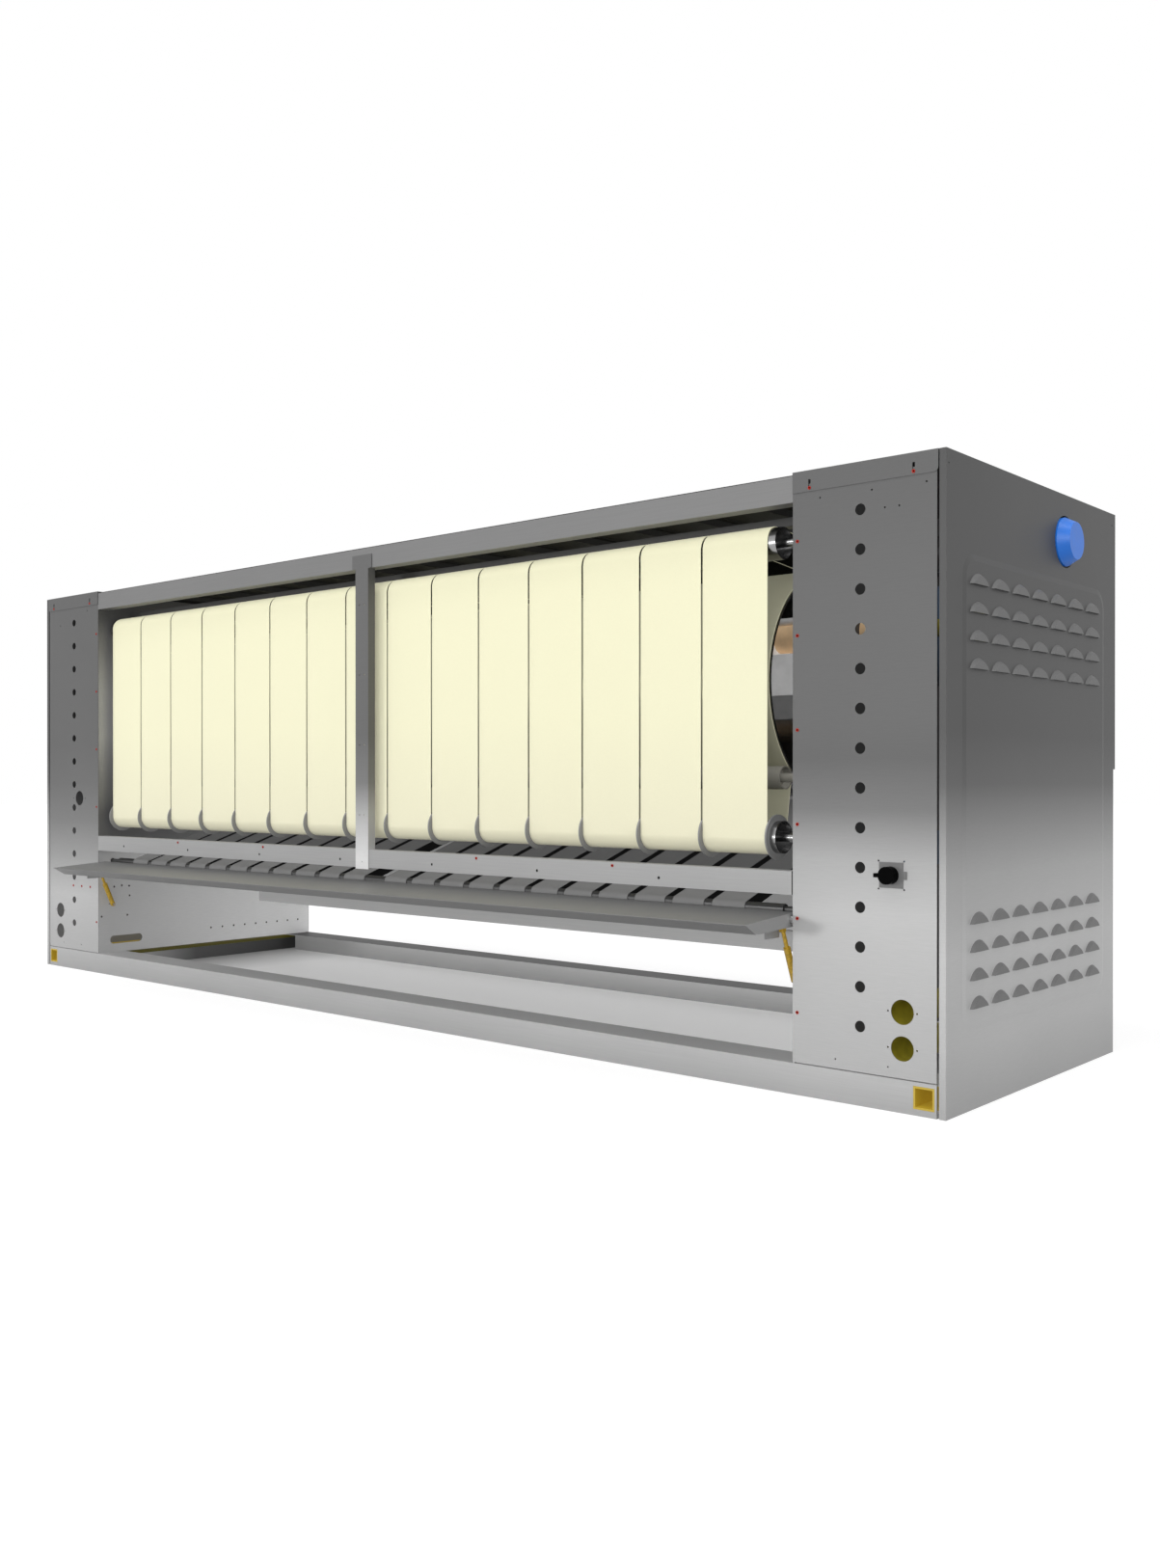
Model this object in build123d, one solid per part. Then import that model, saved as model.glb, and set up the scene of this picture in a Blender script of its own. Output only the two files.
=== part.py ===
"""Flatwork ironer with a heated drum, seen from its delivery side with the belt cover off.

Millimetres. +X runs along the machine to its right end, +Y from the delivery side to the
feeding side, +Z up. The origin is on the floor, under the middle of the body.
"""
import math
import os

from build123d import *

# ---------------------------------------------------------------- body
machine_length = 4300.0
machine_height = 1620.0
body_depth = 1112.0
cabinet_width = 430.0
sheet = 2.0                 # covers
plate = 6.0                 # load-carrying end walls
seam = 0.3                  # clearance between pieces that meet

x_end = machine_length / 2
x_wall = x_end - cabinet_width          # face of each end wall that looks into the opening
y_front = -body_depth / 2
y_rear = body_depth / 2

# ---------------------------------------------------------------- base
channel_web = 4.0
channel_flange = 127.0
channel_back_inset = 60.0   # ends of its inner web, from the end walls
side_return = 18.0          # front and rear returns of the side panels
side_shadow_gap = 6.0
lifting_tube = 56.0
lifting_tube_wall = 5.0
lifting_tube_inset = 58.0   # centre, from the end of the machine
tube_over_pan = 2.0
tube_headroom = 6.0         # under the channels' top flange
pan_z = 12.0
pan_upstand = 52.0
pan_upstand_gap = 4.0       # from the end walls' inner faces
cross_bar_count = 5
cross_bar_width = 80.0
anchor_hole_r = 7.0
anchor_inset_x = 130.0
anchor_inset_y = 32.0

lifting_tube_z = pan_z + sheet + tube_over_pan + lifting_tube / 2
base_height = lifting_tube_z + lifting_tube / 2 + tube_headroom + channel_web
inner_tube_z = base_height - channel_web - lifting_tube / 2

# ---------------------------------------------------------------- drum
drum_radius = 328.0
drum_wall = 6.0
drum_front = 57.0           # its front, behind the front plane
drum_drop = 530.0           # its axis, below the top of the machine
drum_setback = drum_front + drum_radius
drum_z = machine_height - drum_drop

# ---------------------------------------------------------------- frame beams
beam_web = 3.0
top_beam_drop = 77.0
top_beam_z = machine_height - top_beam_drop
top_beam_flange = 50.0
roof_drop = 6.0
roof_top = machine_height - roof_drop
rib_count = 13
rib_height = 24.0
rib_thickness = 3.0
rail_setback = 150.0
rail_depth = 40.0
rail_drop = 105.0
rail_z = machine_height - rail_drop
rail_height = 24.0
cross_beam_drop = 570.0     # its bottom, below the drum's axis
cross_beam_height = 62.0
cross_beam_flange = 40.0
cross_beam_bottom = drum_z - cross_beam_drop
cross_beam_top = cross_beam_bottom + cross_beam_height
beam_hole_inset = 440.5     # small holes of the crossbeam, from the right end wall
beam_hole_pitch = 466.4
beam_hole_rise = 24.5       # above its bottom edge
beam_nut_inset = 610.2
beam_nut_pitch = 557.8
beam_nut_drop = 10.0        # below its top edge
apron_drop = 101.0          # its top, below the crossbeam
apron_height = 53.0
apron_setback = 45.0
apron_flange = 26.0
apron_left_end = -650.0
apron_top = cross_beam_bottom - apron_drop
apron_bottom = apron_top - apron_height
post_width = 66.0
post_depth = 28.0
post_lap = 5.0              # over the lower edge of the crossbeam
post_foot_z = cross_beam_bottom - post_lap
post_head_width = 100.0
post_head_drop = 30.0
post_head_top = machine_height - post_head_drop
post_proud = 2.8
post_first_hole = 118.0     # above the crossbeam
post_hole_pitch = 240.0
post_hole_x = 12.0
post_foot_hole_rise = 20.0

# ---------------------------------------------------------------- ironing belts
belt_pitch = 220.0
belt_slot = 6.0
belt_thickness = 2.5
belt_right_gap = 107.0      # from the right end wall to the first belt
belt_left_gap = 30.0        # least gap at the other end
belt_seat = 0.3             # belt to roller, and belt to drum

press_roller_r = 44.45
upper_roller_setback = 95.0
upper_roller_gap = 7.75     # from its belt up to the rail
upper_roller_z = rail_z - upper_roller_gap - press_roller_r - belt_seat - belt_thickness
feed_press_setback = 735.0
feed_press_rise = 310.0     # above the drum's axis
feed_press_z = drum_z + feed_press_rise
lower_roller_setback = 95.0
lower_roller_drop = 425.0   # below the drum's axis
lower_roller_z = drum_z - lower_roller_drop
nip_roller_r = 32.0
nip_gap = 0.5               # from the exit roller's belt to the drum
nip_angle = 226.5           # where the exit roller meets the drum, from +Y through +Z
roller_wall = 3.0
roller_recess = 24.0
roller_overhang = 20.0
shaft_r = 12.5
shaft_fit = 0.05
guide_ring_r = 61.5
guide_ring_thickness = 5.0
wall_hole_clearance = 3.0
bearing_flange_r = 34.0
bearing_flange = 8.0
bearing_hub_r = 24.0
bearing_length = 26.0
journal_end = 8.0           # shaft standing out past its bearing

# ---------------------------------------------------------------- drum carriers
carrier_roller_r = 50.0
carrier_roller_width = 22.0
carrier_inset = 4.0         # inside the end of the drum
carrier_axle_r = 12.0
carrier_angle = 28.0        # each side of the top of the drum
carrier_flange_r = 26.0

# ---------------------------------------------------------------- burner inside the drum
service_hole_r = 212.0
end_plate_lap = 24.0
end_plate_r = service_hole_r + end_plate_lap
end_plate = 4.0
burner_r = 41.0
burner_wall = 3.0
manifold_r = 11.0
manifold_clearance = 6.0    # inside the service hole
burner_rise = service_hole_r - manifold_clearance - 2 * manifold_r - burner_r
carriage_depth = 96.0
carriage_bottom_drop = 24.0
carriage_gap = 6.0          # under the burner
carriage_height = burner_rise - burner_r - carriage_gap + carriage_bottom_drop
carriage_wall = 3.0
baffle_height = 68.0
baffle_depth = 60.0
saddle_count = 6
saddle_thickness = 5.0

# ---------------------------------------------------------------- delivery tapes and shelf
delivery_front_setback = 68.0
delivery_front_drop = 45.4  # its axis, below the crossbeam's lower edge
delivery_rear_setback = 520.0
delivery_rear_rise = 108.0  # its axis, above that edge
delivery_roller_r = 14.0
delivery_roller_inset = 65.0            # end of its tube, from the end walls
delivery_front_z = cross_beam_bottom - delivery_front_drop
delivery_rear_z = cross_beam_bottom + delivery_rear_rise
delivery_shaft_r = 8.0
tape_pitch = 137.1
tape_width = 109.0
tape_thickness = 2.0
tape_middle_gap = 40.0      # from the middle of the machine to the first tape's pitch
tape_end_gap = 150.0        # least gap to the end walls

shelf_reach = 207.0         # in front of the front plane
shelf_rear_setback = 25.0
shelf_drop = 47.0           # its rear edge, below the crossbeam
shelf_fall = 16.0
shelf_rear_z = cross_beam_bottom - shelf_drop
shelf_front_z = shelf_rear_z - shelf_fall
shelf_side_gap = 9.0
shelf_skirt = 37.0
shelf_lip = 32.0            # depth of the lip at its lower edge
shelf_lip_slope = 49.0      # how far the lip runs back
shelf_pivot_setback = 8.0
shelf_pivot_drop = 18.0
shelf_pivot_z = shelf_rear_z - shelf_pivot_drop
shelf_pin_r = 6.0
shelf_rib_gap = 220.0       # outermost ribs, from the end walls
shelf_rib_x = (-614.0, -240.0, 640.0)
shelf_rib_setback = (-20.0, -90.0, -120.0)      # rear, foot and tip of each rib
shelf_tab_setback = (-5.0, -72.0)
shelf_tab_drop = 48.0       # foot of the spring tabs, below the pivot

spring_foot_back = 44.0     # behind the shelf's pivot
spring_foot_drop = 165.0    # below it
spring_top_ahead = 14.0
spring_top_drop = 27.0
spring_foot_setback = shelf_pivot_setback + spring_foot_back
spring_foot_z = shelf_pivot_z - spring_foot_drop
spring_top_setback = shelf_pivot_setback - spring_top_ahead
spring_top_z = shelf_pivot_z - spring_top_drop
spring_body_r = 9.5
spring_rod_r = 5.5
spring_body_share = 0.62
spring_wall_gap = 14.0
spring_pin_r = 4.0
spring_eye_half = 6.0
spring_stud = 4.0           # from the tab to the spring's eye

# ---------------------------------------------------------------- feeding side
feed_nip_r = 30.0
feed_nip_gap = 20.5         # from its tapes to the belts on the drum
feed_nip_angle = 37.26      # seen from the drum's axis, up from +Y
feed_outer_r = 30.0
feed_outer_drop = 5.0       # below the drum's axis
feed_outer_z = drum_z - feed_outer_drop
feed_reach = 205.0          # feed table past the rear plane
feed_tape_pitch = 110.0
feed_tape_width = 80.0
feed_tape_thickness = 1.6
feed_bed = 2.0
feed_hem = 20.0
feed_table_drop = 6.0       # under the feed tapes
arm_lap = 120.0             # side arm inside the end wall's rear edge
arm_tip = 42.0
arm_root_up = 110.0
arm_root_down = 90.0
guard_gap = 115.0           # behind the feed press roller's axis
guard_setback = feed_press_setback + guard_gap
guard_pivot_drop = 120.0
guard_pivot_z = machine_height - guard_pivot_drop
guard_pivot_r = 8.0
guard_drop = 96.0
guard_end_gap = 30.0
rear_cover_bottom = 212.0
rear_cover_drop = 100.0     # its top, below the feed table's end
rear_cover_top = feed_outer_z - rear_cover_drop

# ---------------------------------------------------------------- openings of the left end wall
hand_slot_setback = 132.0
hand_slot_z = 135.0
hand_slot_half = 60.0
hand_slot_r = 17.0
hole_row_setback = 558.0
hole_row_pitch = 61.0
hole_row_rear_gap = 50.0
hole_row_z = 148.0
hole_row_r = 3.0
hole_row_count = 1 + int((body_depth - hole_row_setback - hole_row_rear_gap) / hole_row_pitch)
wall_holes = ((74.0, 362.0), (110.0, 366.0), (145.0, 362.0), (147.0, 320.0),
              (15.5, 238.0), (136.0, 237.0))    # setback and height of the others

# ---------------------------------------------------------------- covers
cap_flange = 55.0
cap_side_inset = 20.0
cap_corner = 12.0
cable_hole_inset = 276.5    # round hole of the left front panel, from that end of the machine
cable_hole_z = 741.0
panel_gap = 3.0             # over the base
panel_bottom = base_height + panel_gap
panel_tuck = 20.0           # under the cap's flange
sight_hole_pitch = 100.0
sight_hole_r = 14.5
sight_hole_z = 200.0
sight_hole_inset = 232.5    # from the end of the machine
service_port_r = 31.0
service_port_inset = 115.4
service_port_z = (158.4, 248.6)
port_screw_reach = 8.3      # outside each port's edge
screw_hole_r = 2.5
panel_hole_drop = 75.0      # upper row of small holes, below the top of the machine
cover_hole_drop = 124.0     # the next row
foot_hole_z = 109.0
right_top_insets = (51.5, 200.3, 348.8)
right_cover_insets = (124.8, 164.0)
right_foot_insets = (154.6, 303.2)
left_top_insets = (340.0,)
left_cover_insets = (117.0,)
left_foot_insets = (142.0, 291.0)
left_nut_insets = (225.0, 294.5, 365.0)
left_nut_z = 362.0
side_screw_drop = 35.5
side_screw_margin = 13.0    # from the front and rear edges of the side panels
edge_screw_inset = 14.0     # from the panel's inner edge
edge_screw_pitch = 245.0
edge_screw_z = 215.0
grommet_r = 4.5
grommet_hole_r = 3.5
grommet_proud = 1.2
cap_inner_inset = 51.0      # inner slot of the right cap, from the cap's inner end
right_cap_insets = (85.0, cabinet_width - cap_inner_inset)
left_cap_insets = (64.5, 365.0)
cap_screw_rise = 9.0        # over the flange's lower edge
cap_slot = 22.0
cap_screw_z = machine_height - cap_flange + cap_screw_rise
cap_slot_top = cap_screw_z + cap_slot
sight_column = machine_height - cap_flange - 2 * sight_hole_r - sight_hole_z
sight_hole_count = 1 + int(sight_column / sight_hole_pitch)
edge_column = machine_height - cap_flange - 2 * grommet_r - edge_screw_z
edge_screw_count = 1 + int(edge_column / edge_screw_pitch)

louvre_rows = 4
louvre_pitch_y = 126.0
louvre_pitch_z = 70.0
louvre_width = 104.0
louvre_height = 30.0
louvre_proud = 9.0
louvre_sheet = 1.5
louvre_slope = 9.0          # how far the hood's edge runs in towards its tip
louvre_slot_half = 40.0
louvre_slot_height = 16.0
louvre_first_setback = 173.0
upper_louvre_drop = 524.0
upper_louvre_z = machine_height - upper_louvre_drop
lower_louvre_z = 253.0
emboss_front = 88.0         # pressed field, from the front edge
emboss_rear = 80.0          # from the rear edge
emboss_bottom = 198.0
emboss_drop = 240.0         # its top, below the top of the machine
emboss_proud = 2.5
emboss_slope = 16.0
emboss_corner = 60.0
louvre_run = body_depth - emboss_rear - louvre_first_setback - louvre_width / 2
louvre_columns = 1 + int(louvre_run / louvre_pitch_y)
rear_step_drop = 768.0
rear_step_z = machine_height - rear_step_drop
rear_step = 14.0

# ---------------------------------------------------------------- exhaust
duct_setback = 738.0
duct_drop = 132.0
duct_z = machine_height - duct_drop
duct_r = 60.0
duct_wall = 2.0
cap_grip = 8.0              # how much wider the blanking cap is than the duct
cap_taper = 16.0
cap_base_r = duct_r + cap_grip
cap_end_r = cap_base_r - cap_taper
cap_proud = 33.0
duct_hole_gap = 5.0
duct_hole_r = cap_base_r + duct_hole_gap
fan_drop = 240.0
fan_standoff = 40.0
fan_inlet_r = 48.0
fan_motor_gap = 4.0
fan_housing_r = 150.0
fan_housing_width = 110.0
fan_wheel_r = 120.0
fan_wheel_width = 80.0
fan_blades = 24
fan_shaft_r = 9.0
fan_motor_r = 75.0
fan_motor_length = 130.0

# ---------------------------------------------------------------- drives
sprocket_thickness = 8.0
motor_sprocket_teeth = 17
roller_sprocket_teeth = 30
chain_pitch = 12.7
chain_width = 12.0
chain_thickness = 7.0
gearmotor_setback = 330.0
gearmotor_z = 420.0
gearbox = 150.0
gearbox_bore = 40.0
gearmotor_r = 70.0
gearmotor_end_gap = 30.0    # from the end of the machine
side_motor_r = 45.0
side_motor_length = 150.0
side_gearbox = 96.0

# ---------------------------------------------------------------- gas line
gas_pipe_gap = 4.0          # behind the front panel
gas_pipe_r = 36.0
gas_riser_r = 40.0
feed_pipe_r = 24.0
burner_head_length = 60.0
burner_head_r = 57.0
gas_valve = 110.0
gas_valve_z = 640.0

# ---------------------------------------------------------------- switch and controls
switch_inset = 145.8
switch_z = 584.6
switch_screw_reach = 35.0   # each way from the switch's middle
switch_plate = 64.0
switch_plate_thickness = 3.0
switch_body = 50.0
switch_tab = 10.0
knob_r = 22.0
knob_height = 26.0
knob_lever = 34.0
knob_stem_r = 5.0
console_width = 260.0
console_height = 340.0
console_depth = 60.0
console_z = 1060.0
console_inset = 85.0
screen_width = 180.0
screen_height = 120.0
screen_top_gap = 30.0
button_row = 60.0           # above the console's lower edge
button_r = 15.0
button_height = 14.0
button_travel = 4.0
stop_button_r = 21.0


def at(setback):
    """Depth of a place measured back from the front plane."""
    return y_front + setback


def block(x0, x1, y0, y1, z0, z1):
    centre = Pos((x0 + x1) / 2, (y0 + y1) / 2, (z0 + z1) / 2)
    return centre * Box(x1 - x0, y1 - y0, z1 - z0)


def rod_x(x0, x1, y, z, r):
    return Pos((x0 + x1) / 2, y, z) * Rot(0, 90, 0) * Cylinder(r, x1 - x0)


def rod_y(x, y0, y1, z, r):
    return Pos(x, (y0 + y1) / 2, z) * Rot(90, 0, 0) * Cylinder(r, y1 - y0)


def tube_x(x0, x1, y, z, r, wall):
    return rod_x(x0, x1, y, z, r) - rod_x(x0 - 1, x1 + 1, y, z, r - wall)


def along_x(face, x0, x1):
    """Extrude a face drawn in the Y-Z plane from x0 to x1."""
    return Pos(x0, 0, 0) * extrude(face, amount=x1 - x0, dir=(1, 0, 0))


def outline_yz(points):
    corners = [(0, y, z) for y, z in points]
    return make_face(Polyline(*corners, close=True))


def left_of(shape):
    return mirror(shape, about=Plane.YZ)


def both_ends(shape):
    return [shape, left_of(shape)]


def solids_of(*shapes):
    found = []
    for shape in shapes:
        if isinstance(shape, (list, tuple)):
            found += solids_of(*shape)
        else:
            found += list(shape.solids())
    return found


def write(name, *shapes):
    solids = solids_of(*shapes)
    body = solids[0] if len(solids) == 1 else Compound(children=solids)
    export_step(body, f"parts/{name}.step")
    print(f"{name}: {len(solids)} solids, {sum(s.volume for s in solids):.0f} mm3")


# ---------------------------------------------------------------- endless belts and chains
def wrap_points(pulleys, offsets):
    """Tangent points of an endless loop; a pulley is (y, z, turn), with turn +1 or -1."""
    points = []
    count = len(pulleys)
    for i in range(count):
        y0, z0, turn0 = pulleys[i]
        y1, z1, turn1 = pulleys[(i + 1) % count]
        r0 = offsets[i] * turn0
        r1 = offsets[(i + 1) % count] * turn1
        span = math.hypot(y1 - y0, z1 - z0)
        heading = math.atan2(z1 - z0, y1 - y0)
        tilt = math.acos((r0 - r1) / span)
        normal = heading + tilt
        points.append(((y0 + r0 * math.cos(normal), z0 + r0 * math.sin(normal)),
                       (y1 + r1 * math.cos(normal), z1 + r1 * math.sin(normal))))
    return points


def loop_wire(pulleys, offsets):
    """Closed wire of straight runs and arcs round the pulleys, travelled clockwise."""
    runs = wrap_points(pulleys, offsets)
    edges = []
    for i, (start, end) in enumerate(runs):
        following = runs[(i + 1) % len(runs)]
        edges.append(Line((0, *start), (0, *end)))
        y, z, turn = pulleys[(i + 1) % len(pulleys)]
        radius = offsets[(i + 1) % len(pulleys)]
        a0 = math.atan2(end[1] - z, end[0] - y)
        a1 = math.atan2(following[0][1] - z, following[0][0] - y)
        sweep = (a0 - a1) % (2 * math.pi) * turn if turn > 0 else (a1 - a0) % (2 * math.pi) * turn
        middle = a0 - sweep / 2
        over = (y + radius * math.cos(middle), z + radius * math.sin(middle))
        edges.append(ThreePointArc((0, *end), (0, *over), (0, *following[0])))
    return Wire(edges)


def loop_face(pulleys, radii, seat, thickness):
    """Section of a belt that runs over pulleys (turn +1 inside the loop, -1 outside it)."""
    outer = [r + seat + (thickness if p[2] > 0 else 0) for p, r in zip(pulleys, radii)]
    inner = [r + seat + (0 if p[2] > 0 else thickness) for p, r in zip(pulleys, radii)]
    return make_face(loop_wire(pulleys, outer)) - make_face(loop_wire(pulleys, inner))


# ---------------------------------------------------------------- places that follow from the sizes
journal_x = x_wall + plate + bearing_length + journal_end      # where the roller shafts end
chain_x = -journal_x - sprocket_thickness                      # left face of the drive sprockets
spring_x = x_wall - shelf_side_gap - 2 * sheet - spring_wall_gap
drum_y = at(drum_setback)
belt_count = int((2 * x_wall - belt_right_gap - belt_left_gap) / belt_pitch)
belt_right = x_wall - belt_right_gap
belt_left = belt_right - belt_count * belt_pitch
nip_distance = drum_radius + belt_thickness + 2 * belt_seat + nip_gap + nip_roller_r
nip_y = drum_y + nip_distance * math.cos(math.radians(nip_angle))
nip_z = drum_z + nip_distance * math.sin(math.radians(nip_angle))
feed_nip_distance = (drum_radius + belt_thickness + 2 * belt_seat + feed_nip_gap
                     + feed_tape_thickness + feed_nip_r)
feed_nip_y = drum_y + feed_nip_distance * math.cos(math.radians(feed_nip_angle))
feed_nip_z = drum_z + feed_nip_distance * math.sin(math.radians(feed_nip_angle))
front_edge = x_end - side_return - side_shadow_gap      # outer edge of the front and rear panels


def print_motion():
    """Ratios and pivots that the joints of this machine need."""
    belt_line = belt_seat + belt_thickness / 2
    drum_line = drum_radius + belt_line
    print("press rollers to drum", -drum_line / (press_roller_r + belt_line))
    print("exit roller to drum", -drum_line / (nip_roller_r + belt_line))
    print("carrier rollers to drum", (drum_radius - drum_wall) / carrier_roller_r)
    print("motor sprocket to lower roller", roller_sprocket_teeth / motor_sprocket_teeth)
    print("drum axis y,z", drum_y, drum_z)
    print("upper", at(upper_roller_setback), upper_roller_z)
    print("feed press", at(feed_press_setback), feed_press_z)
    print("lower", at(lower_roller_setback), lower_roller_z)
    print("exit", nip_y, nip_z)
    print("carrier", carrier_place(-1), carrier_place(1))
    print("feed nip", feed_nip_y, feed_nip_z, "feed outer z", feed_outer_z)
    print("delivery", delivery_front_z, delivery_rear_z)
    print("shelf pivot", at(shelf_pivot_setback), shelf_pivot_z)
    print("spring foot", at(spring_foot_setback), spring_foot_z)
    print("spring top", at(spring_top_setback), spring_top_z)


# ---------------------------------------------------------------- base
def base_channel():
    """Box beam under the front edge, with windows for the lifting tubes."""
    x = front_edge
    web = block(-x, x, y_front, y_front + channel_web, 0, base_height)
    top = block(-x, x, y_front, y_front + channel_flange, base_height - channel_web, base_height)
    foot = block(-x, x, y_front, y_front + channel_flange, 0, channel_web)
    x_back = x_wall - channel_back_inset
    back = block(-x_back, x_back, y_front + channel_flange - channel_web, y_front + channel_flange,
                 pan_z + sheet, base_height)
    beam = web + top + foot + back
    for side in (-1, 1):
        x0, x1 = sorted((side * x, side * (x_end - sheet - seam)))
        beam += block(x0, x1, y_front + 2 * channel_web, y_front + channel_flange,
                      base_height - channel_web, base_height)
        beam += block(x0, x1, y_front + 2 * channel_web, y_front + channel_flange, 0, channel_web)
    half = lifting_tube / 2 + seam
    for side in (-1, 1):
        x_tube = side * (x_end - lifting_tube_inset)
        beam -= block(x_tube - half, x_tube + half, y_front - 1, y_front + channel_web + 1,
                      lifting_tube_z - half, lifting_tube_z + half)
        x_bolt = side * (x_end - anchor_inset_x)
        beam -= Pos(x_bolt, at(anchor_inset_y), channel_web / 2) * Cylinder(anchor_hole_r, 3 * channel_web)
    return beam


def square_tube_y(x, z, y0, y1):
    half = lifting_tube / 2
    bore = half - lifting_tube_wall
    return (block(x - half, x + half, y0, y1, z - half, z + half)
            - block(x - bore, x + bore, y0 - 1, y1 + 1, z - bore, z + bore))


def base():
    front = base_channel()
    outer = square_tube_y(x_end - lifting_tube_inset, lifting_tube_z, y_front, y_rear)
    inner_reach = y_rear - channel_web
    inner = square_tube_y(x_wall + lifting_tube / 2, inner_tube_z, -inner_reach, inner_reach)
    write("lifting_tubes", both_ends(outer), both_ends(inner))
    pan_reach = y_rear - channel_web - seam
    pan = block(-front_edge + seam, front_edge - seam, -pan_reach, pan_reach, pan_z, pan_z + sheet)
    upstand_x = x_wall - pan_upstand_gap
    upstand = block(upstand_x - sheet, upstand_x, -pan_reach, pan_reach, pan_z,
                    pan_z + sheet + pan_upstand)
    write("base_pan", pan + both_ends(upstand))
    bar_reach = y_rear - channel_flange - seam
    step = 2 * (front_edge - cross_bar_width) / (cross_bar_count - 1)
    bars = []
    for i in range(cross_bar_count):
        x = (i - (cross_bar_count - 1) / 2) * step
        bars.append(block(x - cross_bar_width / 2, x + cross_bar_width / 2,
                          -bar_reach, bar_reach, 0, pan_z))
    write("base_frame", front, mirror(front, about=Plane.XZ), bars)


# ---------------------------------------------------------------- frame
def beam_section(y0, y1, z0, z1):
    """Channel section between the end walls, with its web in front."""
    outer = block(-x_wall + seam, x_wall - seam, y0, y1, z0, z1)
    return outer - block(-x_wall, x_wall, y0 + beam_web, y1 + 1, z0 + beam_web, z1 - beam_web)


def frame_beams():
    top = beam_section(y_front, y_front + top_beam_flange, top_beam_z, roof_top - sheet)
    roof = block(-x_wall + seam, x_wall - seam, y_front, y_rear, roof_top - sheet, roof_top)
    reach = y_rear - top_beam_flange
    pitch = 2 * x_wall / (rib_count + 1)
    for i in range(rib_count):
        x = (i + 1) * pitch - x_wall
        under = roof_top - sheet
        upright = block(x, x + rib_thickness, -reach, reach, under - rib_height, under)
        foot = block(x, x + rib_height, -reach, reach, under - rib_thickness, under)
        roof += upright + foot
    write("ribbed_roof_panel", roof)
    rail = block(-x_wall, x_wall, at(rail_setback), at(rail_setback + rail_depth),
                 rail_z, rail_z + rail_height)
    bore = block(-x_wall - 1, x_wall + 1, at(rail_setback) + beam_web,
                 at(rail_setback + rail_depth) - beam_web, rail_z + beam_web,
                 rail_z + rail_height - beam_web)
    write("frame_top_beams", top, mirror(top, about=Plane.XZ), rail - bore)
    crossbeam = beam_section(y_front, y_front + cross_beam_flange, cross_beam_bottom,
                             cross_beam_top)
    ahead, behind = y_front - 1, y_front + beam_web + 1
    holes = [rod_y(x, ahead, behind, z, grommet_hole_r) for x, z in beam_nuts()]
    count = 2 + int(2 * (x_wall - beam_hole_inset) / beam_hole_pitch)
    for i in range(count):
        x = x_wall - beam_hole_inset - i * beam_hole_pitch
        holes.append(rod_y(x, ahead, behind, cross_beam_bottom + beam_hole_rise, screw_hole_r))
    write("front_crossbeam", crossbeam - holes)
    apron = block(apron_left_end, x_wall - seam, at(apron_setback), at(apron_setback + apron_flange),
                  apron_bottom, apron_top)
    apron -= block(apron_left_end - 1, x_wall + 1, at(apron_setback) + beam_web,
                   at(apron_setback + apron_flange) + 1, apron_bottom + beam_web,
                   apron_top - beam_web)
    tie = block(apron_left_end, apron_left_end + apron_flange, at(apron_setback) + beam_web,
                y_rear - sheet, apron_bottom, apron_top)
    tie -= block(apron_left_end + beam_web, apron_left_end + apron_flange + 1,
                 at(apron_setback + apron_flange), y_rear, apron_bottom + beam_web,
                 apron_top - beam_web)
    write("front_apron", apron + tie)


def beam_nuts():
    """Places of the rivet nuts along the crossbeam; the centre post covers one of the row."""
    count = 2 + int(2 * (x_wall - beam_nut_inset) / beam_nut_pitch)
    row = [x_wall - beam_nut_inset - i * beam_nut_pitch for i in range(count)]
    return [(x, cross_beam_top - beam_nut_drop) for x in row if abs(x) > post_width]


def centre_post():
    half = post_width / 2
    face = block(-half, half, y_front - post_proud, y_front, post_foot_z, post_head_top)
    head = block(-post_head_width / 2, post_head_width / 2, y_front - post_proud, y_front,
                 top_beam_z, post_head_top)
    post = face + head
    for side in (-1, 1):
        x0, x1 = sorted((side * half, side * (half - beam_web)))
        post += block(x0, x1, y_front - post_proud, y_front + post_depth,
                      cross_beam_top, top_beam_z)
    first = cross_beam_top + post_first_hole
    count = 1 + int((top_beam_z - first) / post_hole_pitch)
    places = [(side * post_hole_x, first + i * post_hole_pitch)
              for side in (-1, 1) for i in range(count)]
    holes = [rod_y(x, y_front - post_proud - 1, y_front + 1, z, screw_hole_r)
             for x, z in places + [(0.0, cross_beam_bottom + post_foot_hole_rise)]]
    write("centre_post", post - holes)


# ---------------------------------------------------------------- end walls
def carrier_place(side):
    """Axis of a drum carrier roller, inside the top of the drum."""
    reach = drum_radius - drum_wall - belt_seat - carrier_roller_r
    angle = math.radians(carrier_angle)
    return (drum_y + side * reach * math.sin(angle), drum_z + reach * math.cos(angle))


def roller_axes():
    """Axes and shaft radii of every roller that is carried by both end walls."""
    return [
        (at(upper_roller_setback), upper_roller_z, shaft_r),
        (at(feed_press_setback), feed_press_z, shaft_r),
        (at(lower_roller_setback), lower_roller_z, shaft_r),
        (nip_y, nip_z, shaft_r),
        (at(delivery_front_setback), delivery_front_z, delivery_shaft_r),
        (at(delivery_rear_setback), delivery_rear_z, delivery_shaft_r),
        (feed_nip_y, feed_nip_z, shaft_r),
    ]


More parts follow.
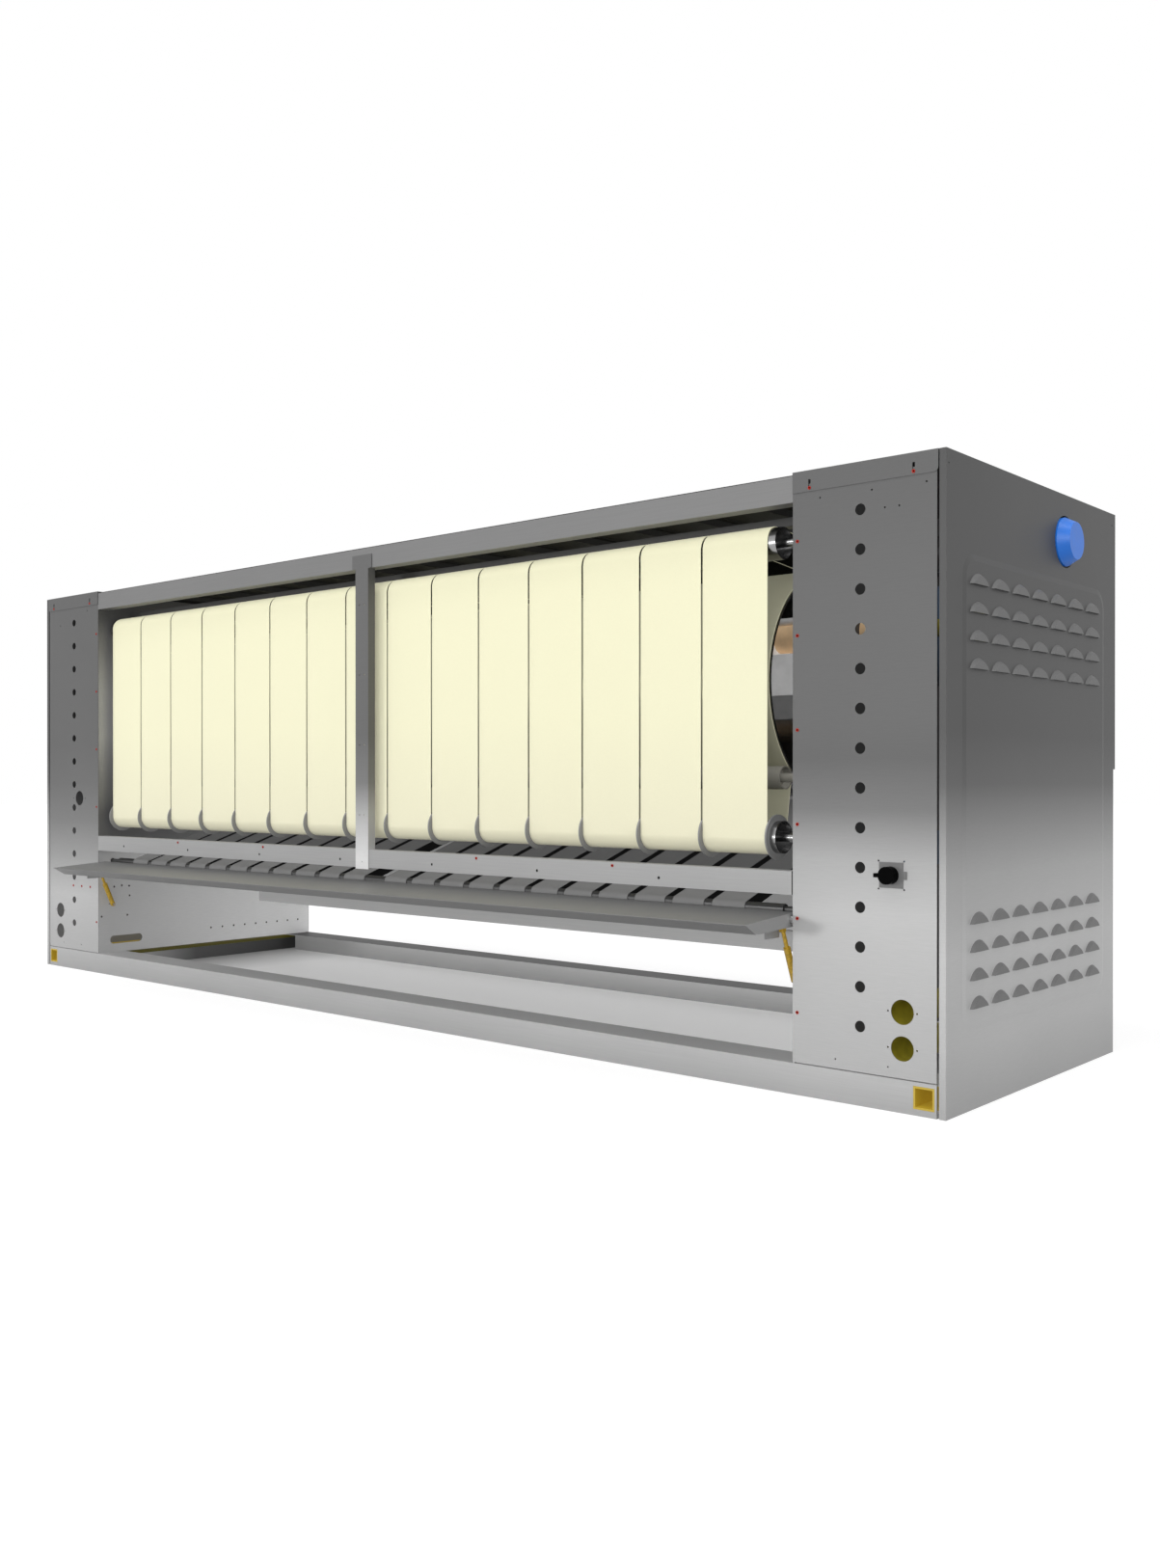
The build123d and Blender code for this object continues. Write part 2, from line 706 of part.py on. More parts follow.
def end_wall():
    """Right end wall: carries the rollers, the drum carriers and the burner."""
    lip = sheet + seam
    wall = block(x_wall, x_wall + plate, y_front + lip, y_rear - lip, base_height,
                 machine_height - sheet)
    cuts = [rod_x(x_wall - 1, x_wall + plate + 1, drum_y, drum_z, service_hole_r)]
    for y, z, r in roller_axes():
        cuts.append(rod_x(x_wall - 1, x_wall + plate + 1, y, z, r + wall_hole_clearance))
    return wall - cuts


def end_walls():
    right = end_wall()
    y, z, x0, x1 = at(hand_slot_setback), hand_slot_z, x_wall - 1, x_wall + plate + 1
    hand_slot = block(x0, x1, y - hand_slot_half, y + hand_slot_half, z - hand_slot_r,
                      z + hand_slot_r)
    for side in (-1, 1):
        hand_slot += rod_x(x0, x1, y + side * hand_slot_half, z, hand_slot_r)
    row = [rod_x(x0, x1, at(hole_row_setback + i * hole_row_pitch), hole_row_z, hole_row_r)
           for i in range(hole_row_count)]
    row += [rod_x(x0, x1, at(setback), z, hole_row_r) for setback, z in wall_holes]
    write("right_end_wall", right - rod_x(x0, x1, at(duct_setback), duct_z - fan_drop, fan_inlet_r))
    write("left_end_wall", left_of(right - hand_slot - row))
    x0, x1 = x_wall + plate, x_wall + plate + end_plate
    disc = rod_x(x0, x1, drum_y, drum_z, end_plate_r)
    neck = rod_x(x0 - 1, x1 + 1, drum_y, drum_z + burner_rise, burner_r - burner_wall)
    write("burner_end_plates", disc - neck, left_of(disc))


def bearings():
    """Flange bearings on the outer faces of the end walls, one at each end of each roller."""
    units = []
    x0 = x_wall + plate
    for y, z, r in roller_axes():
        grow = r / shaft_r
        unit = (rod_x(x0, x0 + bearing_flange, y, z, bearing_flange_r * grow)
                + rod_x(x0, x0 + bearing_length, y, z, bearing_hub_r * grow)
                - rod_x(x0 - 1, x0 + bearing_length + 1, y, z, r + shaft_fit))
        units += both_ends(unit)
    write("roller_bearings", units)


def drum_carriers():
    end = belt_right
    x_in = end - carrier_inset - carrier_roller_width
    left_end = -belt_left
    left_in = left_end - carrier_inset - carrier_roller_width
    axles = []
    names = {-1: "front_carrier_rollers", 1: "rear_carrier_rollers"}
    for side in (-1, 1):
        y, z = carrier_place(side)
        rollers = []
        for mirrored, inner in ((False, x_in), (True, left_in)):
            axle = (rod_x(inner - 6, x_wall, y, z, carrier_axle_r)
                    + rod_x(x_wall - 8, x_wall, y, z, carrier_flange_r)
                    + rod_x(inner - 6, inner - seam, y, z, carrier_axle_r + 4))
            wheel = (rod_x(inner, inner + carrier_roller_width, y, z, carrier_roller_r)
                     - rod_x(inner - 1, inner + carrier_roller_width + 1, y, z,
                             carrier_axle_r + shaft_fit))
            axles.append(left_of(axle) if mirrored else axle)
            rollers.append(left_of(wheel) if mirrored else wheel)
        write(names[side], rollers)
    write("carrier_axles", axles)


# ---------------------------------------------------------------- drum, burner
def drum():
    write("drum_shell", tube_x(belt_left, belt_right, drum_y, drum_z, drum_radius, drum_wall))


def burner():
    x = x_wall + plate
    z_burner = drum_z + burner_rise
    head_x = x + end_plate
    burner = (tube_x(-x, x, drum_y, z_burner, burner_r, burner_wall)
              + rod_x(x - end_plate, head_x + burner_head_length, drum_y, z_burner,
                      burner_r - burner_wall)
              + rod_x(head_x, head_x + burner_head_length, drum_y, z_burner, burner_head_r))
    write("burner_tube", burner)
    z_manifold = z_burner + burner_r + manifold_r
    write("gas_manifold", rod_x(-x, x, drum_y, z_manifold, manifold_r))
    z0 = drum_z - carriage_bottom_drop
    z1 = z0 + carriage_height
    half = carriage_depth / 2
    carriage = (block(-x, x, drum_y - half, drum_y + half, z0, z1)
                - block(-x - 1, x + 1, drum_y - half + carriage_wall, drum_y + half - carriage_wall,
                        z0 + carriage_wall, z1 - carriage_wall))
    pitch = 2 * x_wall / saddle_count
    for i in range(saddle_count):
        x_saddle = (i + 0.5) * pitch - x_wall
        saddle = block(x_saddle, x_saddle + saddle_thickness, drum_y - half, drum_y + half,
                       z1, z_burner)
        carriage += saddle - rod_x(x_saddle - 1, x_saddle + saddle_thickness + 1,
                                   drum_y, z_burner, burner_r)
    write("burner_carriage", carriage)
    half = baffle_depth / 2
    baffle = (block(-x, x, drum_y - half, drum_y + half, z0 - baffle_height, z0)
              - block(-x - 1, x + 1, drum_y - half + carriage_wall, drum_y + half - carriage_wall,
                      z0 - baffle_height + carriage_wall, z0 + 1))
    write("heat_baffle", baffle)


# ---------------------------------------------------------------- rollers and belts
def roller(y, z, r, journal_r, x0, x1, tail=0.0):
    """Tube with end discs set back inside it, on a shaft that reaches through both walls."""
    tube = tube_x(x0, x1, y, z, r, roller_wall)
    discs = [rod_x(x0 + roller_recess, x0 + roller_recess + plate, y, z, r - roller_wall),
             rod_x(x1 - roller_recess - plate, x1 - roller_recess, y, z, r - roller_wall)]
    return tube + discs + rod_x(-journal_x - tail, journal_x, y, z, journal_r)


def rings():
    """Belt guides on the lower roller, one in each slot between belts and one at each end."""
    y, z = at(lower_roller_setback), lower_roller_z
    found = []
    for i in range(belt_count + 1):
        x = belt_right - i * belt_pitch
        x0, x1 = x - guide_ring_thickness / 2, x + guide_ring_thickness / 2
        found.append(rod_x(x0, x1, y, z, guide_ring_r) - rod_x(x0 - 1, x1 + 1, y, z, press_roller_r))
    return found


def press_rollers():
    x0 = belt_left - roller_overhang
    x1 = belt_right + roller_overhang
    y_lower = at(lower_roller_setback)
    lower = roller(y_lower, lower_roller_z, press_roller_r, shaft_r, x0, x1,
                   tail=sprocket_thickness)
    write("upper_press_roller", roller(at(upper_roller_setback), upper_roller_z, press_roller_r,
                                       shaft_r, x0, x1))
    write("feed_press_roller", roller(at(feed_press_setback), feed_press_z, press_roller_r,
                                      shaft_r, x0, x1))
    write("lower_press_roller", lower, sprocket(roller_sprocket_teeth, chain_x, y_lower,
                                                lower_roller_z, shaft_r))
    write("exit_roller", roller(nip_y, nip_z, nip_roller_r, shaft_r, belt_left, belt_right))
    write("belt_guide_rings", rings())


def belt_loops(face, right, pitch, width, count):
    return [along_x(face, right - (i + 0.5) * pitch - width / 2,
                    right - (i + 0.5) * pitch + width / 2) for i in range(count)]


def ironing_belts():
    pulleys = [(at(lower_roller_setback), lower_roller_z, 1),
               (at(upper_roller_setback), upper_roller_z, 1),
               (at(feed_press_setback), feed_press_z, 1),
               (drum_y, drum_z, -1),
               (nip_y, nip_z, 1)]
    radii = [press_roller_r, press_roller_r, press_roller_r, drum_radius, nip_roller_r]
    face = loop_face(pulleys, radii, belt_seat, belt_thickness)
    write("ironing_belts", belt_loops(face, belt_right, belt_pitch, belt_pitch - belt_slot,
                                      belt_count))


# ---------------------------------------------------------------- delivery
def delivery():
    front = (at(delivery_front_setback), delivery_front_z)
    rear = (at(delivery_rear_setback), delivery_rear_z)
    count = int((x_wall - tape_middle_gap - tape_end_gap) / tape_pitch)
    right = tape_middle_gap + count * tape_pitch
    face = loop_face([(*front, 1), (*rear, 1)], [delivery_roller_r] * 2, belt_seat, tape_thickness)
    write("delivery_tapes", belt_loops(face, right, tape_pitch, tape_width, count),
          belt_loops(face, -tape_middle_gap, tape_pitch, tape_width, count))
    x = x_wall - delivery_roller_inset
    write("delivery_front_roller", roller(*front, delivery_roller_r, delivery_shaft_r, -x, x))
    write("delivery_rear_roller", roller(*rear, delivery_roller_r, delivery_shaft_r, -x, x))


def shelf_line(setback, drop=0.0):
    """Height of the shelf's top at a depth, less a drop."""
    share = (shelf_rear_setback - setback) / (shelf_rear_setback + shelf_reach)
    return shelf_rear_z + share * (shelf_front_z - shelf_rear_z) - drop


def shelf():
    rear, front = shelf_rear_setback, -shelf_reach
    x = x_wall - shelf_side_gap
    tray = outline_yz([(at(rear), shelf_line(rear)), (at(front), shelf_line(front)),
                       (at(front), shelf_line(front, sheet)), (at(rear), shelf_line(rear, sheet))])
    edge = front + shelf_lip_slope
    edge_z = shelf_line(edge, shelf_lip)
    skirt = outline_yz([(at(rear), shelf_line(rear)), (at(front), shelf_line(front)),
                        (at(edge), edge_z), (at(rear), shelf_line(rear, shelf_skirt))])
    lip = outline_yz([(at(front), shelf_line(front)), (at(edge), edge_z),
                      (at(edge + 2 * sheet), edge_z),
                      (at(front + 4 * sheet), shelf_line(front + 4 * sheet, sheet))])
    piece = along_x(tray, -x, x) + along_x(lip, -x, x)
    for side in (-1, 1):
        x0, x1 = sorted((side * x, side * (x - 2 * sheet)))
        piece += along_x(skirt, x0, x1)
    pivot = rod_x(-x - 1, x + 1, at(shelf_pivot_setback), shelf_pivot_z, shelf_pin_r + shaft_fit)
    piece -= pivot
    back, foot, tip = shelf_rib_setback
    rib = outline_yz([(at(back), shelf_line(back, sheet)), (at(tip), shelf_line(tip, sheet)),
                      (at(foot), shelf_line(foot, shelf_skirt)),
                      (at(back), shelf_line(back, shelf_skirt))])
    outer_rib = x_wall - shelf_rib_gap
    for x_rib in (*shelf_rib_x, -outer_rib, outer_rib):
        piece += along_x(rib, x_rib, x_rib + beam_web)
    heel, toe = shelf_tab_setback
    tab_z = shelf_pivot_z - shelf_tab_drop
    tab = outline_yz([(at(heel), shelf_line(heel, sheet)), (at(toe), shelf_line(toe, sheet)),
                      (at(toe), tab_z), (at(heel), tab_z)])
    stud_x = spring_x - spring_eye_half - seam
    tab_x = stud_x - spring_stud
    bracket = along_x(tab, tab_x - beam_web, tab_x) + rod_x(
        tab_x, stud_x, at(spring_top_setback), spring_top_z, spring_pin_r)
    write("catch_shelf", piece + both_ends(bracket))


def hinge_pins():
    """Pins and bushes fixed to the end walls: shelf pivots, gas spring feet, guard bushes."""
    x = x_wall - shelf_side_gap
    pin = (rod_x(x - 4 * sheet, x_wall, at(shelf_pivot_setback), shelf_pivot_z, shelf_pin_r)
           + rod_x(x + seam, x_wall, at(shelf_pivot_setback), shelf_pivot_z, 2 * shelf_pin_r))
    stud = rod_x(spring_x - spring_body_r, x_wall, at(spring_foot_setback), spring_foot_z,
                 spring_pin_r)
    bush = (rod_x(x_wall - guard_end_gap + 2 * seam, x_wall, at(guard_setback), guard_pivot_z,
                  2 * guard_pivot_r)
            - rod_x(0, x_wall + 1, at(guard_setback), guard_pivot_z, guard_pivot_r + shaft_fit))
    write("hinge_pins_and_bushes", both_ends(pin), both_ends(stud), both_ends(bush))


def gas_springs():
    """A gas spring at each end: its foot on the wall, its rod at a tab under the shelf."""
    foot = (at(spring_foot_setback), spring_foot_z)
    top = (at(spring_top_setback), spring_top_z)
    length = math.hypot(top[0] - foot[0], top[1] - foot[1])
    tilt = math.degrees(math.atan2(foot[0] - top[0], top[1] - foot[1]))
    place = Pos(spring_x, foot[0], foot[1]) * Rot(tilt, 0, 0)
    body_length = spring_body_share * length
    eye = rod_x(-spring_eye_half, spring_eye_half, 0, 0, 2 * spring_pin_r)
    bore = rod_x(-spring_body_r, spring_body_r, 0, 0, spring_pin_r + shaft_fit)
    cylinder = Pos(0, 0, body_length / 2 + spring_pin_r) * Cylinder(spring_body_r, body_length)
    well = Pos(0, 0, body_length / 2 + 6 * spring_pin_r) * Cylinder(spring_rod_r + shaft_fit,
                                                                     body_length)
    body = place * (eye - bore + cylinder - bore - well)
    rod_start = length - body_length
    rod = place * (Pos(0, 0, (rod_start + length) / 2) * Cylinder(spring_rod_r, length - rod_start)
                   + rod_x(-spring_eye_half, spring_eye_half, 0, length, 2 * spring_pin_r))
    write("gas_spring_bodies", both_ends(body))
    write("gas_spring_rods", both_ends(rod))


# ---------------------------------------------------------------- feeding side
def feed_conveyor():
    inner = (feed_nip_y, feed_nip_z)
    outer = (y_rear + feed_reach - feed_outer_r - feed_tape_thickness - belt_seat, feed_outer_z)
    x0, x1 = belt_left - roller_overhang, belt_right + roller_overhang
    write("feed_inner_roller", roller(*inner, feed_nip_r, shaft_r, x0, x1))
    tube = tube_x(x0, x1, *outer, feed_outer_r, roller_wall)
    discs = [rod_x(x0, x0 + plate, *outer, feed_outer_r - roller_wall),
             rod_x(x1 - plate, x1, *outer, feed_outer_r - roller_wall)]
    write("feed_outer_roller", tube + discs + rod_x(-x_wall + seam, x_wall - seam, *outer, shaft_r))
    face = loop_face([(*inner, 1), (*outer, 1)], [feed_nip_r, feed_outer_r], belt_seat,
                     feed_tape_thickness)
    count = int(belt_count * belt_pitch / feed_tape_pitch)
    write("feed_tapes", belt_loops(face, belt_right, feed_tape_pitch, feed_tape_width, count))
    heading = math.atan2(inner[1] - outer[1], inner[0] - outer[0])
    span = math.hypot(inner[1] - outer[1], inner[0] - outer[0])
    rise = feed_nip_r - feed_table_drop
    bed = Pos(0, (inner[0] + outer[0]) / 2, (inner[1] + outer[1]) / 2)
    bed *= Rot(math.degrees(heading) - 180, 0, 0)
    width = 2 * (x_wall - plate - seam)
    deck = Pos(0, 0, rise - feed_bed / 2) * Box(width, span - 3 * feed_nip_r, feed_bed)
    hem = Pos(0, 0, rise - feed_hem / 2) * Box(width, feed_bed, feed_hem)
    cheek = outline_yz([(y_rear - arm_lap, feed_outer_z + arm_root_up),
                        (y_rear + feed_reach, feed_outer_z + arm_tip),
                        (y_rear + feed_reach, feed_outer_z - arm_tip),
                        (y_rear - arm_lap, feed_outer_z - arm_root_down)])
    arm = along_x(cheek, x_wall - plate, x_wall) - rod_x(0, x_wall + 1, *outer, shaft_r + shaft_fit)
    write("feed_table_and_arms", bed * (deck + hem), both_ends(arm))


def feed_guard():
    """Safety bar over the feed gap; it swings in when something is carried under it."""
    y = at(guard_setback)
    bar = block(-x_wall + guard_end_gap, x_wall - guard_end_gap, y - sheet, y + sheet,
                guard_pivot_z - guard_drop, guard_pivot_z)
    pivot = rod_x(-x_wall + seam, x_wall - seam, y, guard_pivot_z, guard_pivot_r)
    write("feed_finger_guard", bar + pivot)


def feed_covers():
    """Cover sheets of the feeding side."""
    x = x_wall - seam
    lower = block(-x, x, y_rear - sheet, y_rear, rear_cover_bottom, rear_cover_top)
    reach = y_rear + feed_reach - feed_outer_r
    low = feed_outer_z - arm_tip
    slope = outline_yz([(reach, low), (y_rear - sheet, rear_cover_top + seam),
                        (y_rear - sheet, rear_cover_top + seam + sheet), (reach, low + sheet)])
    x_in = x_wall - plate - seam
    back = block(x_wall, front_edge, y_rear - sheet, y_rear, panel_bottom,
                 machine_height - cap_flange + panel_tuck)
    write("feeding_side_panels", lower, along_x(slope, -x_in, x_in), both_ends(back))


# ---------------------------------------------------------------- covers of the end cabinets
def louvre_places():
    for z0 in (upper_louvre_z, lower_louvre_z):
        for row in range(louvre_rows):
            for column in range(louvre_columns):
                yield at(louvre_first_setback + column * louvre_pitch_y), z0 + row * louvre_pitch_z


def hood_outline(x, z, width, height):
    """Flat-bottomed louvre outline on the plane at x, its bottom edge at z."""
    half = width / 2
    return make_face([Line((x, -half, z), (x, half, z)),
                      ThreePointArc((x, half, z), (x, 0, z + height), (x, -half, z))])


def louvre_hood():
    """Pressed half dome on the plane at x = 0, open along its bottom edge."""
    root = -sheet / 2
    tip_width = louvre_width - 2 * louvre_slope
    tip_height = louvre_height - louvre_slope
    outer = loft([hood_outline(root, 0, louvre_width, louvre_height),
                  hood_outline(louvre_proud, 0, tip_width, tip_height)], ruled=True)
    skin = louvre_sheet
    inner = loft([hood_outline(root - skin, -skin, louvre_width - 2 * skin, louvre_height),
                  hood_outline(louvre_proud - skin, -skin, tip_width - 2 * skin, tip_height)],
                 ruled=True)
    return outer - inner


def side_panel():
    """Outer cover of the right cabinet with its returns, pressed field and louvres."""
    x0, x1 = x_end - sheet, x_end
    wall = block(x0, x1, y_front, y_rear, 0, machine_height)
    wall += block(x0, x1, y_rear - sheet, y_rear + rear_step, rear_step_z, machine_height)
    returns = [block(x_end - side_return, x1, y_front, y_front + sheet, 0, machine_height),
               block(x_end - side_return, x1, y_rear - sheet, y_rear, 0, machine_height),
               block(x_end - side_return, x1, y_front, y_rear, machine_height - sheet,
                     machine_height)]
    field = pressed_field()
    panel = wall + returns + Pos(x1, 0, 0) * field - Pos(x0, 0, 0) * field
    slots = [block(x0 - 1, x1 + emboss_proud + 1, y - louvre_slot_half, y + louvre_slot_half,
                   z + louvre_sheet, z + louvre_slot_height) for y, z in louvre_places()]
    duct = rod_x(x0 - 1, x1 + 1, at(duct_setback), duct_z, duct_hole_r)
    reach = y_rear - side_screw_margin
    screws = [rod_x(x0 - 1, x1 + 1, side * reach, machine_height - side_screw_drop, screw_hole_r)
              for side in (-1, 1)]
    panel = panel - slots - duct - screws
    hood = louvre_hood()
    hoods = [Pos(x1 + emboss_proud, y, z) * hood for y, z in louvre_places()]
    return panel + hoods


def pressed_field():
    """Raised field on the plane at x = 0, with sloping sides."""
    y0, y1 = at(emboss_front), y_rear - emboss_rear
    z0, z1 = emboss_bottom, machine_height - emboss_drop
    width, height = y1 - y0, z1 - z0
    levels = []
    for x, inset in ((0.0, 0.0), (emboss_proud, emboss_slope)):
        plane = Plane(origin=(x, (y0 + y1) / 2, (z0 + z1) / 2), x_dir=(0, 1, 0), z_dir=(1, 0, 0))
        levels.append(plane * RectangleRounded(width - 2 * inset, height - 2 * inset,
                                               emboss_corner - inset))
    return loft(levels, ruled=True)


def front_panel(insets, cap_insets):
    """Front cover of a cabinet with its column of sight holes, drawn for the right end."""
    panel = block(x_wall, front_edge, y_front, y_front + sheet, panel_bottom,
                  machine_height - cap_flange + panel_tuck)
    back, ahead = y_front + sheet + 1, y_front - 1
    holes = []
    for i in range(sight_hole_count):
        holes.append(rod_y(x_end - sight_hole_inset, ahead, back,
                           sight_hole_z + i * sight_hole_pitch, sight_hole_r))
    for z in service_port_z:
        holes.append(rod_y(x_end - service_port_inset, ahead, back, z, service_port_r))
        for side in (-1, 1):
            x = x_end - service_port_inset + side * (service_port_r + port_screw_reach)
            holes.append(rod_y(x, ahead, back, z, screw_hole_r))
    for x, z in edge_screws() + cap_screws(cap_insets):
        holes.append(rod_y(x, ahead, back, z, grommet_hole_r))
    rows = (machine_height - panel_hole_drop, machine_height - cover_hole_drop, foot_hole_z)
    for z, places in zip(rows, insets):
        holes += [rod_y(x_end - inset, ahead, back, z, screw_hole_r) for inset in places]
    return panel - holes


def edge_screws():
    return [(x_wall + edge_screw_inset, edge_screw_z + i * edge_screw_pitch)
            for i in range(edge_screw_count)]


def cap_screws(insets):
    return [(x_end - inset, cap_screw_z) for inset in insets]


def top_cap(insets):
    """Folded lid over a cabinet, drawn for the right end; it laps the front and rear panels."""
    x0, x1 = x_wall, x_end - cap_side_inset
    y0 = y_front - seam - sheet
    top = machine_height
    lid = block(x0, x1, y0, -y0, top - sheet, top)
    flange = block(x0, x1, y0, y0 + sheet, top - cap_flange, top)
    flange = fillet(flange.edges().filter_by(Axis.Y).group_by(Axis.Z)[0].sort_by(Axis.X)[-1],
                    cap_corner)
    for inset in insets:
        flange -= block(x_end - inset - grommet_hole_r, x_end - inset + grommet_hole_r, y0 - 1,
                        y0 + sheet + 1, cap_screw_z - grommet_hole_r, cap_slot_top)
    return lid + flange + mirror(flange, about=Plane.XZ)


def grommet(x, y, z, grip):
    """Collared rivet nut in a hole; its collar stands a little out of the face at y."""
    return (rod_y(x, y - grommet_proud, y, z, grommet_r)
            + rod_y(x, y, y + grip, z, grommet_hole_r - shaft_fit)
            - rod_y(x, y - grommet_proud - 1, y + grip - sheet, z, grommet_hole_r - 1))


def covers():
    side = side_panel()
    write("right_side_panel", side)
    left_duct = rod_x(x_end - sheet, x_end, at(duct_setback), duct_z, duct_hole_r)
    write("left_side_panel", left_of(side + left_duct))
    ahead, back = y_front - 1, y_front + sheet + 1
    front = front_panel((right_top_insets, right_cover_insets, right_foot_insets),
                        right_cap_insets)
    x = x_end - switch_inset
    holes = [rod_y(x, ahead, back, switch_z, 2.5 * knob_stem_r)]
    holes += [rod_y(x + i * switch_screw_reach, ahead, back, switch_z + j * switch_screw_reach,
                    screw_hole_r) for i in (-1, 1) for j in (-1, 1)]
    write("right_front_panel", front - holes)
    front = front_panel((left_top_insets, left_cover_insets, left_foot_insets), left_cap_insets)
    x = x_end - cable_hole_inset
    holes = [rod_y(x, ahead, back, cable_hole_z, service_port_r)]
    holes += [rod_y(x + side * (service_port_r + 2 * port_screw_reach), ahead, back, cable_hole_z,
                    screw_hole_r) for side in (-1, 1)]
    left_nuts = [(x_end - inset, left_nut_z) for inset in left_nut_insets]
    holes += [rod_y(x, ahead, back, z, grommet_hole_r) for x, z in left_nuts]
    write("left_front_panel", left_of(front - holes))
    write("cabinet_top_caps", top_cap(right_cap_insets), left_of(top_cap(left_cap_insets)))
    nuts = []
    for own, insets in (([], right_cap_insets), (left_nuts, left_cap_insets)):
        group = [grommet(x, y_front, z, 3 * sheet) for x, z in edge_screws() + own]
        group += [grommet(x, y_front - seam - sheet, z, 4 * sheet) for x, z in cap_screws(insets)]
        nuts.append([left_of(nut) for nut in group] if own else group)
    beam = [grommet(x, y_front, z, 3 * sheet) for x, z in beam_nuts()]
    write("panel_rivet_nuts", nuts, beam)


# ---------------------------------------------------------------- exhaust
def exhaust():
    """Fan on the right end wall that blows up a duct and out through the side panel."""
    y, z = at(duct_setback), duct_z - fan_drop
    x0 = x_wall + plate + fan_standoff
    x1 = x0 + fan_housing_width
    shell = tube_x(x0, x1, y, z, fan_housing_r, sheet)
    front = rod_x(x0, x0 + sheet, y, z, fan_housing_r) - rod_x(x0 - 1, x1, y, z, fan_inlet_r)
    back = rod_x(x1 - sheet, x1, y, z, fan_housing_r) - rod_x(x0, x1 + 1, y, z, 2 * fan_shaft_r)
    riser_x = (x0 + x1) / 2
    throat = fan_housing_width / 2 - 3 * sheet
    mouth = block_cylinder(riser_x, y, z + fan_wheel_r, z + 2 * fan_wheel_r, throat - duct_wall)
    housing = shell + front + back - mouth
    for angle in (30, 150, 270):
        a = math.radians(angle)
        y_post, z_post = y + 0.8 * fan_housing_r * math.cos(a), z + 0.8 * fan_housing_r * math.sin(a)
        housing += rod_x(x_wall + plate, x0, y_post, z_post, fan_shaft_r)
    foot = math.sqrt(fan_housing_r ** 2 - throat ** 2) + z
    riser = block_cylinder(riser_x, y, foot, duct_z, throat)
    cross = rod_x(riser_x - duct_r, x_end - 2 * sheet, y, duct_z, duct_r)
    bore = (block_cylinder(riser_x, y, foot - 1, duct_z, throat - duct_wall)
            + rod_x(riser_x - duct_r + duct_wall, x_end, y, duct_z, duct_r - duct_wall))
    skin = riser + cross - bore - rod_x(x_wall, x_end, y, z, fan_housing_r)
    write("exhaust_duct", skin)
    skirt = tube_x(x_end - 6 * sheet, x_end + sheet, y, duct_z, cap_base_r,
                   cap_base_r - duct_r - seam)
    nose = Pos(x_end + sheet, y, duct_z) * Rot(0, 90, 0) * Pos(0, 0, (cap_proud - sheet) / 2)
    nose *= Cone(cap_base_r, cap_end_r, cap_proud - sheet)
    write("exhaust_blanking_cap", skirt + nose)
    wheel_x = (x0 + x1 - fan_wheel_width) / 2
    disc = rod_x(wheel_x + fan_wheel_width - sheet, wheel_x + fan_wheel_width, y, z, fan_wheel_r)
    blades = []
    for i in range(fan_blades):
        blade = block(wheel_x, wheel_x + fan_wheel_width, y + 0.8 * fan_wheel_r,
                      y + fan_wheel_r - sheet, z, z + sheet)
        blades.append(blade.rotate(Axis((0, y, z), (1, 0, 0)), i * 360.0 / fan_blades))
    rim = tube_x(wheel_x, wheel_x + 3 * sheet, y, z, fan_wheel_r, fan_shaft_r)
    hub = rod_x(wheel_x + fan_wheel_width / 2, x1 + 3 * sheet, y, z, fan_shaft_r)
    write("exhaust_fan_wheel", disc + blades + rim + hub)
    motor_x = x1 + fan_motor_gap
    motor = rod_x(motor_x, motor_x + fan_motor_length, y, z, fan_motor_r)
    motor -= rod_x(motor_x - 1, motor_x + 6 * sheet, y, z, fan_shaft_r + shaft_fit)
    feet = [rod_x(x1, motor_x, y + side * 0.8 * fan_motor_r, z, fan_shaft_r) for side in (-1, 1)]
    write("exhaust_fan_and_motor", housing, motor + feet)


def block_cylinder(x, y, z0, z1, r):
    return Pos(x, y, (z0 + z1) / 2) * Cylinder(r, z1 - z0)


# ---------------------------------------------------------------- drives
def sprocket(teeth, x, y, z, bore_r):
    """Toothed disc on the plane between x and x + sprocket_thickness."""
    pitch_r = chain_pitch / (2 * math.sin(math.pi / teeth))
    root_r, tip_r = pitch_r - 0.3 * chain_pitch, pitch_r + 0.25 * chain_pitch
    points = []
    for i in range(teeth):
        for share, r in ((-0.32, root_r), (-0.12, tip_r), (0.12, tip_r), (0.32, root_r)):
            a = 2 * math.pi * (i + share) / teeth
            points.append((y + r * math.cos(a), z + r * math.sin(a)))
    disc = along_x(outline_yz(points), x, x + sprocket_thickness)
    return disc - rod_x(x - 1, x + sprocket_thickness + 1, y, z, bore_r)


def tip_radius(teeth):
    return chain_pitch / (2 * math.sin(math.pi / teeth)) + 0.25 * chain_pitch


